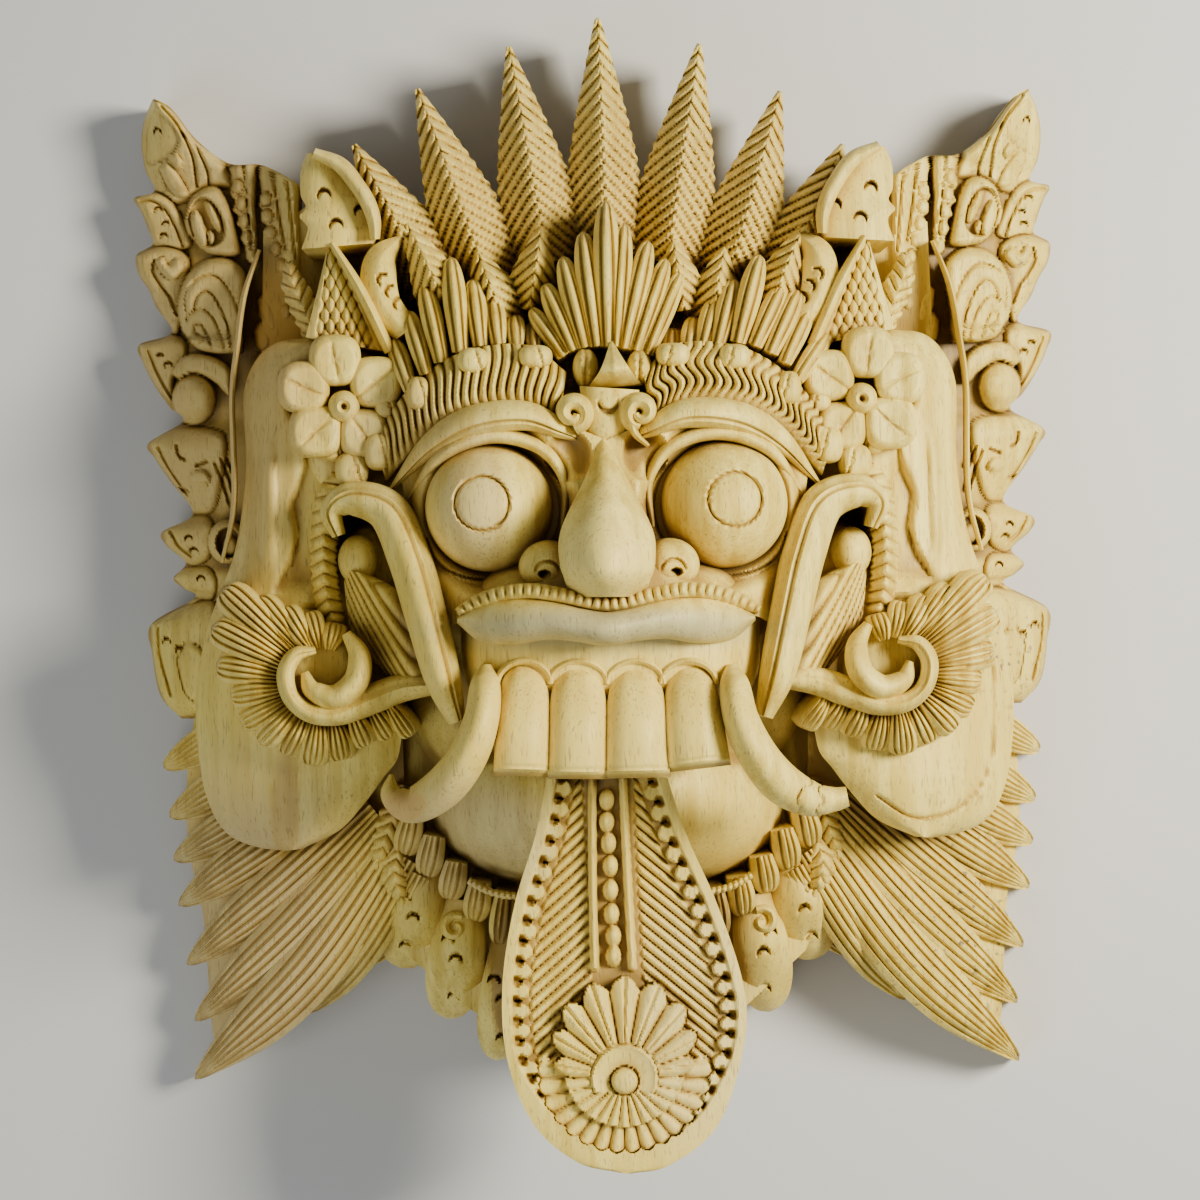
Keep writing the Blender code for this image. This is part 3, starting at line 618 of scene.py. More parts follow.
def socket_and_lids(a, s, spots):
    far = np.hypot(spots[..., 0] - EYE[0], spots[..., 1] - EYE[1])
    share = np.clip((far - LID) / (FLESH - LID), 0, 1)
    share = share * share * (3 - 2 * share)
    level = np.minimum(0, (SOCKET_LEVEL - spots[..., 2]) * (1 - share))
    level += 3.5 * np.clip(1 - ((far - LID - 5) / 7) ** 2, 0, 1)
    for line in LID_LINES:
        level += groove(line_distance(spots, line, 24)[0], 2.0, 2.4)
    corner_off = np.hypot((spots[..., 0] - INNER_CORNER[0]) / 24, (spots[..., 1] - INNER_CORNER[1]) / 26)
    return level - 8 * bump(corner_off, 1)


eye = [
    dome(EYE, (64, 64), 124, 101, 60, rows=44, columns=96, relief=pupil_ring),
    panel(FLESH_TOP, FLESH_FOOT, 0, 60, 120, 96, 2, socket_and_lids),
]
carve("eyes", both(eye))

# %% [markdown]
# ## Nose
# A smooth drop with a sharp root between the brows, a broad flat end, and a comma-shaped wing on each
# side with a drilled nostril.

# %% Nose
NOSTRIL = (542, 574)


def nostril(c, r):
    far = np.hypot((c - NOSTRIL[0]) / 1.5, r - NOSTRIL[1])
    loop = np.clip((NOSTRIL[1] - r) / 4, 0, 1) * groove(np.hypot(c - 545, r - 573) - 12, 2, 1.6)
    return groove(far, 4.6, 9) + loop


NOSE = [
    (601, 438, 112), (603, 480, 124), (604, 530, 138), (605, 562, 142), (605, 580, 140),
    (605, 597, 131),
]
nose = [leaf(NOSE, [2, 22, 46, 48, 43, 37], 15, 100, 80, 41, 2.0)]
wing_of_nose = dome((546, 567), (30, 27), 130, 112, 90, fullness=0.7, rows=36, columns=72, relief=nostril)
carve("nose", nose + both([wing_of_nose]))

# %% [markdown]
# ## Mouth
# A notched moustache lies along a full upper lip. Under the smooth gum come the front teeth, rounded at
# the root and cut off square, and at each corner a tusk curls out and up.

# %% Lip and teeth
LIP = [(455, 620, 116), (480, 622, 122), (510, 621, 129), (545, 620, 134), (577, 625, 137), (604, 629, 139)]
MOUSTACHE = [
    (455, 613, 116), (474, 603, 121), (500, 594, 128), (530, 591, 133), (562, 596, 135),
    (606, 604, 136),
]
LIP_HALVES = [3, 20, 24, 20, 17, 17]
# Each tooth: column and half width at the root, then at the end, and the row of the end
TEETH = [(522, 27, 519, 28, 776), (576, 29, 575, 30, 779), (633, 29, 635, 33, 778), (686, 28, 697, 32, 769)]


def across_the_middle(line):
    last = line[-1]
    return line + [(2 * last[0] - c, r - 0.017 * (last[0] - c), l) for c, r, l in line[-2::-1]]


def notches(a, angle, half):
    front = np.clip(1.4 - np.abs(angle - 1.9), 0, 1)
    return ribs(a / 8.8, 2.4, 0.8) * front


def tooth_end(a, b, spots):
    """The sawn end is bevelled, and the face is a little hollow above it."""
    return -5 * np.clip((7 - a) / 6, 0, 1) + groove(a - 9, 3, 0.6)


mouth = [
    roll(across_the_middle(LIP), LIP_HALVES + LIP_HALVES[-2::-1], [9] * 11, 150, 32),
    roll(across_the_middle(MOUSTACHE), [5] + [8] * 9 + [5], [7] * 11, 300, 24, notches),
]
turns = np.linspace(math.pi, 0, 9)
for column, half, end_column, end_half, end_row in TEETH:
    spine = [(end_column, end_row, 134), ((column + end_column) / 2, 722, 133), (column, 662, 122)]
    mouth.append(leaf(spine, [end_half, (half + end_half) / 2, half], 6, 96, 62, 33, 3.0, True, tooth_end))
    arch = [(column + half * math.cos(turn), 684 - 23 * math.sin(turn), 125) for turn in turns]
    mouth.append(roll(arch, [3, 4, 3], [3, 5, 3], 40, 12))
carve("mouth", mouth)

# %% [markdown]
# ## Tusks
# Each tusk is a round bar that swells at the bend and thins to its tip. The right one has lost its tip,
# so its last ring stays wide and is closed flat, and cracks run round it where the wood began to part.

# %% Tusks
LEFT_TUSK = [
    (484, 664, 120), (483, 684, 129), (479, 720, 134), (464, 758, 134), (440, 788, 128),
    (410, 805, 120), (390, 794, 115), (389, 774, 114),
]
RIGHT_TUSK = [
    (729, 664, 120), (732, 684, 129), (739, 720, 134), (757, 757, 134), (780, 784, 128),
    (808, 799, 122), (830, 800, 118), (846, 797, 116),
]


def crack(a, angle, half):
    first = groove(a - 158 - 4 * np.sin(3 * angle), 1.5, 2.0)
    return first + groove(a - 176 - 3 * np.cos(4 * angle), 1.2, 1.4)


carve("tusks", [
    roll(LEFT_TUSK, [5, 15, 18, 20, 21, 18, 12, 2], [4, 10, 12, 12, 12, 10, 7, 2], 100, 28),
    roll(RIGHT_TUSK, [5, 15, 18, 20, 21, 18, 13, 10], [4, 10, 12, 12, 12, 10, 8, 7], 100, 28, crack),
])

# %% [markdown]
# ## Tongue
# The tongue hangs far out, and it is the richest piece of the carving: a raised rim, a row of scallops
# inside it, slanting veins on each side of a string of beads, and a flower with a pleated skirt near the
# tip. All of it is low, so it is one surface with its level worked out at every point.

# %% Tongue
TONGUE_LEFT = [
    (545, 775, 104), (533, 835, 102), (512, 905, 100), (500, 985, 102), (505, 1060, 105),
    (532, 1125, 109), (575, 1162, 112), (618, 1173, 112),
]
TONGUE_RIGHT = [
    (664, 775, 104), (684, 835, 102), (715, 905, 100), (741, 985, 102), (742, 1045, 105),
    (716, 1125, 109), (668, 1165, 112), (628, 1174, 112),
]
TONGUE_EDGE = [spot[:2] for spot in TONGUE_LEFT] + [spot[:2] for spot in TONGUE_RIGHT[::-1]]
BEADS = [(604, 800), (604, 822), (606, 843), (608, 866), (608, 890), (609, 914), (611, 936), (611, 956)]
FLOWER_HEART, PETAL_COUNT = (622, 1078), 9


RAIL_LEFT, RAIL_RIGHT = [(590, 770), (590, 860), (592, 968)], [(620, 770), (624, 860), (630, 968)]
SCALLOP_PITCH, VEIN_PITCH = 21, 12.0


def scallops(edge, along, rim):
    """Tongues of wood that point inwards from the rim, with a gouged hollow between them."""
    arch = (along / SCALLOP_PITCH) % 1 - 0.5
    lobe = rim + 3 + 15 * np.sqrt(np.clip(1 - (2 * arch) ** 2, 0, 1))
    level = 4.0 * np.clip((lobe - edge) / 1.5, 0, 1) * (edge > rim)
    cusp = (0.5 - np.abs(arch)) * SCALLOP_PITCH
    return level - 5 * bump(np.hypot(cusp, edge - rim - 5), 6)


def flower_relief(c, r):
    """Petals above a half disc, short pleats under it and a fringe of round ends outside them."""
    turn = np.arctan2(FLOWER_HEART[1] - r, c - FLOWER_HEART[0])
    far = np.hypot(c - FLOWER_HEART[0], r - FLOWER_HEART[1])
    down = -np.sin(turn)
    fringe_wave = np.abs(np.sin(turn * 14))
    fringe = (down > -0.25) * np.clip((84 - 12 * np.clip(down, 0, 1) + 4 * fringe_wave - far) / 1.5, 0, 1)
    level = fringe * (3.0 - 2.6 * (1 - fringe_wave ** 0.5))
    pleat_wave = np.abs(np.sin(turn * 13))
    pleats = (down > 0) * np.clip((60 - 10 * np.clip(down, 0, 1) - far) / 1.5, 0, 1)
    level = np.where(pleats > 0.5, 5.5 - 2.6 * (1 - pleat_wave ** 0.5), level)
    petal_wave = np.abs(np.sin(turn * PETAL_COUNT))
    reach = 50 + 38 * np.clip(-down, 0, 1) + 14 * petal_wave
    petals = (down < 0) * (far < reach)
    vein = 1.4 * np.clip(1 - (np.cos(turn * PETAL_COUNT) / 0.3) ** 2, 0, 1)
    level = np.where(petals, 6.5 - 4.0 * (1 - petal_wave ** 0.5) - vein, level)
    in_disc = (far < 35) & (r < FLOWER_HEART[1] + 14)
    dish = 7.5 - 3.0 * bump(far, 33)
    level = np.where(in_disc, dish + groove(far - 34, 2.0, 3), level)
    boss = np.hypot(c - FLOWER_HEART[0], r - FLOWER_HEART[1] - 3)
    return np.where(boss < 15, 6.0 + 2.5 * bump(boss, 14) + groove(boss - 14, 2, 3), level), far < reach + 2


def tongue_carving(a, s, spots):
    c, r = spots[..., 0], spots[..., 1]
    edge, along = line_distance(spots, TONGUE_EDGE, 120)
    rim = 9 + 18 * np.clip((r - 1060) / 90, 0, 1)
    sunk = np.clip((edge - rim) / 2.5, 0, 1)
    level = -5.0 * sunk + scallops(edge, along, rim) * sunk
    middle = 606 + 0.05 * (r - 790)
    off = np.abs(c - middle)
    field = np.clip((edge - rim - 19) / 2, 0, 1) * np.clip((off - 25) / 2, 0, 1)
    flower, in_flower = flower_relief(c, r)
    level += field * (1.5 + ribs((r - 0.85 * off) / VEIN_PITCH, 3.4, 0.7))
    above = np.clip((972 - r) / 4, 0, 1)
    for rail in (RAIL_LEFT, RAIL_RIGHT):
        level += above * 4.5 * bump(line_distance(spots, rail, 12)[0], 4.6)
    for column, row in BEADS:
        level += above * 5.5 * bump(np.hypot((c - column) / 8, (r - row) / 11), 1)
    return np.where(flower > 0.3, flower - 5.0, np.where(in_flower & (r > 960), -5.0, level))


TONGUE_UNDER = [(606, 770, 74), (612, 850, 72), (616, 920, 72), (618, 985, 80)]
tongue = [
    panel(TONGUE_LEFT, TONGUE_RIGHT, 1, 84, 250, 152, 4, tongue_carving),
    roll(TONGUE_UNDER, [52, 56, 50, 20], [14, 16, 16, 6]),
]
carve("tongue", tongue)

# %% [markdown]
# ## Cheek folds and what they hold
# A heavy fold sweeps from the temple round to the corner of the mouth, with a line along its inner edge.
# In its hook sit a small disc, a curved plume and a notched edging.

# %% Cheek folds
HOOK = [
    (337, 536, 84), (330, 512, 86), (350, 499, 90), (386, 512, 94), (408, 560, 100), (425, 620, 106),
    (441, 680, 110), (455, 722, 106),
]


def double_line(a, angle, half):
    return groove(angle - 1.95, 0.13, 1.8) + groove(angle - 2.35, 0.13, 1.6)


def plume_grooves(a, s, spots):
    slant = 0.75 * (spots[..., 0] - 342) - 0.45 * (spots[..., 1] - 570)
    return ribs((slant + 14 * np.cos(s * 1.4)) / 7, 2, 0.8)


fold = [
    roll(HOOK, [7, 12, 17, 21, 22, 21, 18, 9], [7, 9, 11, 13, 14, 14, 12, 8], 110, 36, double_line),
    dome((356, 560), (20, 25), 86, 78, 50, rows=12, columns=32),
    panel([(342, 570, 80), (344, 600, 80), (352, 636, 80), (384, 676, 84)],
          [(366, 574, 84), (396, 592, 88), (416, 632, 92), (424, 682, 94)], 6, 50, 72, 52, 2, plume_grooves),
    leaf([(345, 476, 78), (327, 500, 80), (322, 545, 78), (324, 590, 78), (334, 628, 76)], [13] * 3, 6, 40,
         120, 25, 1.6, relief=lambda a, b, spots: ribs((a - 0.5 * np.abs(b)) / 13, 3.2, 0.7),
         wave=lambda a: 0.86 + 0.2 * np.abs(np.sin(math.pi * a / 13))),
]
carve("cheek_folds", both(fold))

# %% [markdown]
# ## Ear scrolls
# Over each ear a stem curls into a coil, ringed with short fluted petals like a half sunflower.

# %% Ear scrolls
SCROLL = [
    (440, 684, 92), (400, 688, 90), (368, 700, 90), (338, 713, 92), (310, 713, 92), (290, 698, 92),
    (284, 674, 92), (294, 655, 91), (314, 650, 88),
]
CRESCENT = [(344, 633, 90), (357, 655, 94), (354, 681, 96), (334, 697, 95), (311, 690, 93), (303, 672, 90)]
# Petals of the scroll: root, tip, half width
RAYS = [
    ((290, 652), (221, 588), 20), ((284, 664), (211, 626), 19), ((281, 676), (215, 664), 18),
    ((282, 688), (229, 694), 16), ((286, 698), (239, 722), 16), ((294, 707), (259, 744), 15),
    ((304, 714), (284, 756), 15), ((316, 720), (311, 766), 16), ((332, 719), (341, 761), 16),
    ((350, 711), (366, 746), 14), ((368, 705), (389, 738), 13), ((386, 702), (410, 736), 12),
    ((299, 649), (255, 598), 17), ((307, 647), (281, 607), 15), ((317, 648), (306, 611), 14),
    ((328, 650), (334, 622), 13),
]
SCROLL_GROUND = 84
scroll = [
    dome((306, 686), (74, 66), SCROLL_GROUND, 60, 40, fullness=0.5, rows=16, columns=64),
    roll(SCROLL, [9, 14, 15, 12, 10, 9, 9, 8, 4], [8, 8, 8, 8, 8, 8, 7, 6, 4], 120, 24,
         lambda a, angle, half: groove(angle - 1.2, 0.2, 1.5)),
    roll(CRESCENT, [5, 11, 13, 13, 10, 4], [5, 8, 9, 9, 7, 4], 60, 20),
]
for number, (root, tip, half) in enumerate(RAYS):
    lap = SCROLL_GROUND + 1.5 * (number % 2)
    spine = spine_between(root, tip, (lap + 3, lap + 4, lap - 4))
    cuts = (-0.6, -0.2, 0.2, 0.6) if half > 15 else (-0.4, 0.1, 0.55)
    scroll.append(leaf(spine, [half * 0.4, half * 0.8, half], 4, 56, 27, 33, 2.2, True,
                       flutes(cuts, 1.8, 2.4), power=12))
carve("ear_scrolls", both(scroll))

# %% [markdown]
# ## Ears
# The long ears hang down the sides to a broad round lobe, with a stepped wavy line inside and a five
# petalled flower at the top.

# %% Ears and flowers
EAR_OUTER = [
    (313, 338, 60), (268, 347, 60), (243, 390, 60), (244, 470, 60), (234, 550, 60), (206, 630, 60),
    (195, 700, 60), (199, 765, 60), (210, 808, 62), (228, 834, 63), (255, 846, 64), (284, 850, 65),
]
EAR_INNER = [
    (345, 350, 68), (350, 380, 70), (345, 430, 70), (335, 500, 70), (335, 560, 72), (360, 630, 74),
    (396, 700, 76), (397, 752, 76), (381, 778, 74), (360, 806, 71), (337, 830, 68), (300, 848, 66),
]
EAR_STEP = [(280, 372), (285, 408), (300, 441), (304, 464), (289, 505), (295, 535), (288, 563), (270, 592)]
EAR_FOLD = [(215, 582), (250, 597), (284, 604), (330, 612)]
EAR_RIM = [(228, 632), (215, 690), (217, 750), (229, 792), (250, 816), (276, 828), (306, 828), (338, 806)]
FLOWER = (342, 407)
PETALS = [(302, 388, 26), (333, 361, 26), (374, 383, 26), (314, 432, 27), (362, 434, 25)]


def ear_carving(a, s, spots):
    near, _ = line_distance(spots, EAR_STEP, 60)
    line = np.array(EAR_STEP, float)
    step_column = np.interp(spots[..., 1], line[:, 1], line[:, 0])
    inner = np.clip((spots[..., 0] - step_column) / 3, 0, 1)
    fade = np.clip((600 - spots[..., 1]) / 20, 0, 1) * np.clip((spots[..., 1] - 360) / 20, 0, 1)
    ridge = np.clip((spots[..., 1] - 430) / 40, 0, 1) * np.clip((575 - spots[..., 1]) / 30, 0, 1)
    ridge = 2.5 * ridge * np.clip(1 - ((spots[..., 0] - 267) / 9) ** 2, 0, 1)
    under_edge, _ = line_distance(spots, EAR_FOLD, 40)
    return -4.5 * inner * fade + groove(near, 3, 1.5) * fade + ridge + groove(under_edge, 3, 3)


def lined_ear_carving(a, s, spots):
    """The right ear has one more line, a little inside the rim of its lobe."""
    return ear_carving(a, s, spots) + groove(line_distance(spots, EAR_RIM, 60)[0], 2.2, 1.8)


def ear_lobe(carving):
    return panel(EAR_OUTER, EAR_INNER, 9, 34, 120, 50, 2.6, carving)


def flower_eye(c, r):
    return groove(np.hypot(c - FLOWER[0], r - FLOWER[1]), 5, 5)


ear = [ear_lobe(ear_carving), dome(FLOWER, (16, 16), 92, 84, 60, rows=12, columns=32, relief=flower_eye)]
for column, row, half in PETALS:
    way = (FLOWER[0] - column, FLOWER[1] - row)
    way = np.array(way) / math.hypot(*way)
    ear.append(dome((column, row), (half, half), 89, 80, 60, fullness=0.6, corner=2.8, rows=24, columns=48,
                    relief=lambda c, r: groove(np.hypot(c - column, r - row), half * 0.75, 1.6)
                    + groove((c - column) * way[1] - (r - row) * way[0], 2.4, 1.0)))
right_ear = [ear_lobe(lined_ear_carving)] + ear[1:]
carve("ears", ear + [mirrored(skin) for skin in right_ear])

# %% [markdown]
# ## Side panels
# A flat panel runs down each side. Its edge is cut in flame-shaped lobes nicked with crescents, and
# scrolls and balls stand on it.

# %% Side panels
PANEL_OUTER = [
    (152, 102), (144, 122), (141, 146), (145, 172), (154, 193), (134, 200), (141, 214), (148, 232),
    (152, 246), (136, 257), (138, 275), (148, 291), (156, 309), (171, 334), (139, 346), (143, 365),
    (155, 388), (169, 408), (182, 422), (148, 444), (155, 460), (169, 481), (192, 514), (162, 532),
    (166, 546), (185, 563), (173, 578), (182, 588), (194, 598), (151, 624), (152, 655), (160, 695),
    (181, 718),
]
PANEL_INNER = [
    (154, 101), (171, 111), (196, 142), (228, 165), (262, 167), (299, 188), (300, 204), (300, 220),
    (300, 238), (300, 252), (300, 270), (300, 290), (300, 308), (300, 330), (296, 344), (290, 362),
    (286, 386), (282, 406), (280, 422), (278, 440), (276, 458), (274, 480), (270, 510), (266, 530),
    (264, 546), (262, 562), (260, 576), (258, 588), (256, 600), (254, 622), (252, 655), (250, 695),
    (250, 718),
]
# Each form: outline, level of its edge, swelling, how wide it rounds
PANEL_FORMS = [
    ([(158, 204), (190, 190), (234, 164), (300, 186), (300, 340), (282, 420), (264, 562), (252, 712),
      (190, 706), (186, 604), (190, 560), (186, 500), (192, 430), (180, 340), (188, 252)], 0, 3, 6),
    ([(152, 102), (171, 113), (196, 144), (222, 163), (232, 190), (205, 190), (184, 205), (160, 205),
      (150, 190), (143, 168), (141, 145), (144, 122)], 0, 6, 9),
    ([(155, 112), (168, 122), (178, 140), (172, 156), (163, 163), (148, 166), (146, 150), (148, 128)],
      3.5, 1.5, 4),
    ([(158, 170), (166, 164), (178, 176), (188, 196), (178, 200), (166, 188)], 4, 4, 6), ([(168, 158),
    (176, 156), (182, 164), (178, 172), (172, 166)], 5, 3, 4),
    ([(134, 200), (153, 193), (170, 200), (184, 222), (192, 246), (176, 252), (152, 247), (147, 231),
      (140, 214)], 0, 6, 8),
    ([(184, 222), (190, 200), (204, 189), (218, 190), (228, 206), (234, 226), (238, 256), (210, 256),
      (194, 243), (186, 232)], 4, 7, 9),
    ([(187, 222), (191, 206), (203, 199), (215, 208), (223, 226), (222, 240), (212, 248), (200, 246),
      (191, 236)], 6, 0, 1),
    ([(190, 216), (195, 211), (202, 222), (207, 240), (203, 248), (195, 240), (190, 228)], 6, 4, 5),
    ([(203, 203), (210, 204), (219, 220), (221, 234), (215, 232), (208, 220)], 6, 4, 5), ([(205, 234),
    (210, 232), (214, 240), (210, 246)], 6, 4, 3),
    ([(136, 257), (148, 251), (164, 247), (182, 253), (190, 266), (184, 290), (180, 330), (171, 334),
      (156, 309), (147, 291), (138, 276)], 0, 6, 8),
    ([(154, 262), (162, 258), (168, 266), (176, 258), (184, 266), (180, 276), (171, 282), (160, 274)],
      4, 5, 6),
    ([(181, 332), (177, 309), (181, 288), (190, 272), (206, 261), (224, 259), (238, 266), (246, 282),
      (242, 320), (238, 352), (200, 352)], 5, 8, 10),
    ([(186, 322), (184, 298), (194, 281), (212, 276), (228, 290), (240, 320), (240, 352), (231, 352),
      (225, 324), (213, 299), (203, 293), (195, 303), (193, 322)], 9, 4, 5),
    ([(198, 346), (188, 340), (184, 328), (189, 315), (200, 309), (212, 318), (221, 338), (224, 352),
      (213, 352), (205, 334), (199, 325), (194, 328), (197, 335), (204, 339)], 9, 4, 4),
    ([(139, 346), (158, 341), (172, 336), (186, 342), (186, 364), (174, 380), (176, 410), (182, 423),
      (169, 409), (155, 389), (143, 366)], 0, 6, 8),
    ([(172, 376), (176, 364), (190, 355), (214, 358), (230, 372), (228, 396), (214, 384), (196, 376),
      (180, 380)], 5, 6, 7),
    (oval((193, 400), 22, 26), 3, 11, 20),
    ([(148, 444), (158, 434), (180, 426), (210, 428), (226, 440), (222, 480), (212, 512), (192, 514),
      (181, 498), (169, 481), (155, 461)], 0, 6, 9),
    ([(192, 472), (202, 470), (210, 480), (200, 486), (190, 480)], 5, 4, 5),
    ([(162, 532), (170, 523), (188, 517), (206, 516), (214, 530), (210, 556), (196, 566), (185, 563),
      (177, 556), (166, 546)], 0, 6, 8),
    (oval((226, 542), 19, 22), 5, 6, 6), (oval((227, 543), 12, 15), 4, 0, 1), (oval((229, 546), 8, 10),
    4, 4, 6), ([(173, 578), (182, 569), (206, 566), (216, 580), (212, 600), (194, 598), (182, 588)],
    0, 5, 7),
    ([(151, 624), (164, 616), (190, 604), (214, 602), (220, 640), (214, 700), (181, 717), (160, 695),
      (152, 655)], 0, 6, 10),
    ([(176, 660), (186, 642), (202, 650), (208, 676), (198, 700), (184, 692)], 3, 5, 7),
    ([(229, 170), (238, 162), (250, 163), (255, 176), (254, 210), (256, 262), (246, 262), (243, 246),
      (238, 240), (241, 232), (235, 226), (237, 218), (231, 212), (234, 203), (229, 196), (231, 184)],
      5, 6, 7),
    ([(257, 176), (262, 164), (276, 168), (296, 182), (298, 214), (300, 262), (296, 300), (284, 290),
      (276, 268), (266, 252), (270, 244), (263, 236), (266, 228), (259, 222), (262, 214), (257, 206),
      (260, 196)], 6, 7, 8),
    ([(256, 300), (262, 296), (272, 308), (276, 330), (266, 332), (258, 318)], 5, 5, 5),
    (oval((284, 312), 8, 10), 5, 5, 6), (oval((262, 362), 7, 10), 5, 5, 5), ([(252, 332), (260, 322),
    (270, 338), (266, 352), (256, 350)], 5, 5, 5),
]
# Knobs down the edges of the two leaf columns: half width, which is also the edge's level, and spots
KNOBS = [(6, [(237, 188), (240, 205), (243, 222), (246, 239)]),
         (7, [(265, 200), (266, 217), (269, 234), (274, 250), (280, 267), (287, 283)])]
for half, column_of_knobs in KNOBS:
    PANEL_FORMS += [(oval(spot, half, 8), half, 5, 5) for spot in column_of_knobs]
PANEL_LINES = [
    [(182, 136), (192, 160), (196, 188)], [(196, 150), (206, 172), (208, 186)], [(160, 108), (174, 124),
    (184, 140)], [(140, 203), (152, 203), (165, 212), (176, 232), (182, 248)], [(154, 262), (153, 274),
    (161, 288), (170, 300), (176, 316)], [(176, 446), (178, 456), (184, 460)], [(196, 466), (206, 462)],
    [(214, 464), (222, 484), (228, 504)], [(220, 460), (228, 480), (234, 502)], [(226, 460),
    (234, 478)], [(242, 168), (246, 200), (250, 250)], [(272, 174), (276, 206), (284, 250)],
    [(286, 184), (290, 220), (294, 260)], [(148, 352), (156, 372), (170, 398)], [(158, 448), (168, 468),
    (186, 494)], [(170, 532), (178, 546), (190, 556)], [(158, 628), (160, 656), (170, 694)],
]
PANEL_NICKS = [
    (157, 134), (157, 212), (165, 226), (163, 238), (188, 539), (193, 551), (200, 579), (166, 641),
    (179, 649), (184, 492), (160, 358), (168, 366),
]
NICK_RADIUS = 4.5


def panel_relief(a, s, spots):
    level = lay_forms(spots, PANEL_FORMS, PANEL_LINES)
    for nick in PANEL_NICKS:
        level += crescent(spots, nick, NICK_RADIUS, -80, 3)
    return level


def with_levels(line, first, last):
    return [(*spot, level) for spot, level in zip(line, np.linspace(first, last, len(line)))]


STEM = [(258, 251, 42), (243, 296, 46), (236, 346, 50), (231, 400, 52), (233, 502, 54), (221, 563, 52)]
outer, inner = with_levels(PANEL_OUTER, 17, 17), with_levels(PANEL_INNER, 30, 34)
carve("side_panels", both([
    panel(outer, inner, 3, 0, 345, 80, 2, panel_relief),
    roll(STEM, [2, 3, 3, 3, 3, 2], [6, 9, 10, 10, 9, 6], 90, 12),
]))

# %% [markdown]
# ## Corner ornament
# Where the crown meets the side panel stands a broad leaf under a rolled edge, over a triangle of
# crossed cuts and a small lobed leaf. The crossed cuts are two sets of slanting ribs, one over the other.

# %% Corner ornament
LOBE_PITCH, HATCH_PITCH = 13, 12


def acanthus(spine, half, crown, under):
    """A leaf with a lobed edge and a vein slanting to each lobe."""
    halves = [half * 0.75, half, half * 0.85, half * 0.3]
    return leaf(spine, halves, crown, under, 60, 25, 1.5,
                relief=lambda a, b, spots: ribs((a - 0.9 * np.abs(b)) / LOBE_PITCH, 2.6),
                wave=lambda a: 0.8 + 0.25 * np.abs(np.sin(math.pi * a / LOBE_PITCH)))


def hatching(a, s, spots):
    c, r = spots[..., 0], spots[..., 1]
    keep = np.clip((0.8 - np.abs(s)) * 12, 0, 1)
    slants = sum(ribs((c * 1.15 + way * r * 0.55) / HATCH_PITCH, 2.6, 0.5) for way in (1, -1))
    return slants * keep * 0.8


LEAF_LEFT = [
    (305, 155, 58), (299, 172, 60), (299, 196, 62), (304, 208, 64), (298, 218, 65), (306, 229, 66),
    (300, 250, 66),
]
LEAF_RIGHT = [
    (313, 154, 58), (338, 165, 60), (356, 184, 62), (366, 202, 64), (372, 220, 65), (374, 233, 66),
    (370, 244, 66),
]
corner = [
    panel(LEAF_LEFT, LEAF_RIGHT, 4, 24, 70, 50, 2,
          crescents([(322, 196), (334, 226), (359, 212)], 7.5, -80, 4)),
    roll([(312, 154, 64), (338, 166, 66), (355, 186, 68), (366, 204, 70), (372, 222, 70), (373, 240, 70)],
         [5, 8, 8, 8, 7, 5], [6] * 3, 50, 16),
    panel([(304, 338, 70), (316, 290, 70), (326, 247, 66)], [(384, 352, 74), (356, 292, 72), (331, 246, 66)],
          3, 40, 80, 60, 2, hatching),
    roll([(388, 352, 76), (360, 294, 74), (330, 244, 68)], [6, 6, 3], [6, 6, 4], 40, 12),
    leaf([(404, 332, 76), (380, 302, 74), (378, 262, 70), (398, 238, 64)], [14, 18, 16, 3], 5, 40, 50, 31,
         relief=crescents([(380, 280), (388, 292), (396, 304)], 7, -30, 3)),
    acanthus([(313, 338, 58), (300, 304, 60), (291, 284, 58), (287, 262, 54)], 14, 4, 30),
]
carve("corners", both(corner))

# %% [markdown]
# ## Wing feathers
# Below the ears the panels end in wings. Long feathers sweep down and out,
# each cut with six flutes.

# %% Wing feathers
FEATHERS = [
    ((262, 700), (212, 738), (163, 767), 18), ((290, 735), (225, 783), (169, 816), 20),
    ((318, 765), (237, 823), (173, 859), 21), ((345, 790), (257, 850), (178, 904), 23),
    ((368, 805), (280, 887), (186, 963), 26), ((385, 822), (295, 928), (194, 1019), 28),
    ((398, 840), (305, 972), (194, 1077), 29), ((408, 860), (358, 942), (306, 1011), 24),
    ((418, 875), (396, 918), (362, 964), 22),
]
WING_OUTER = [
    (196, 700, 20), (187, 769, 18), (186, 818, 18), (190, 860, 18), (201, 906, 18), (207, 970, 18),
    (212, 1030, 18), (218, 1062, 18),
]
WING_INNER = [
    (400, 700, 44), (402, 780, 44), (408, 850, 44), (404, 920, 42), (364, 958, 36), (320, 996, 30),
    (270, 1026, 24), (234, 1052, 20),
]
wings = [panel(WING_OUTER, WING_INNER, 2, 0, 50, 20)]
for number, (root, bend, tip, half) in enumerate(FEATHERS):
    spine = [(*root, 40 + number), (*bend, 33 + number), (*tip, 18)]
    wings.append(leaf(spine, [half * 0.8, half, half * 1.05, half * 0.95, 13], 5, 0, 72, 39, 2, True,
                      flutes((-0.72, -0.45, -0.15, 0.15, 0.45, 0.72), 1.8, 2)))
carve("wing_feathers", both(wings))

# %% [markdown]
# ## Chin
# Under the smooth chin a rope line and a fluted fringe lead to hanging leaves cut with crescents.

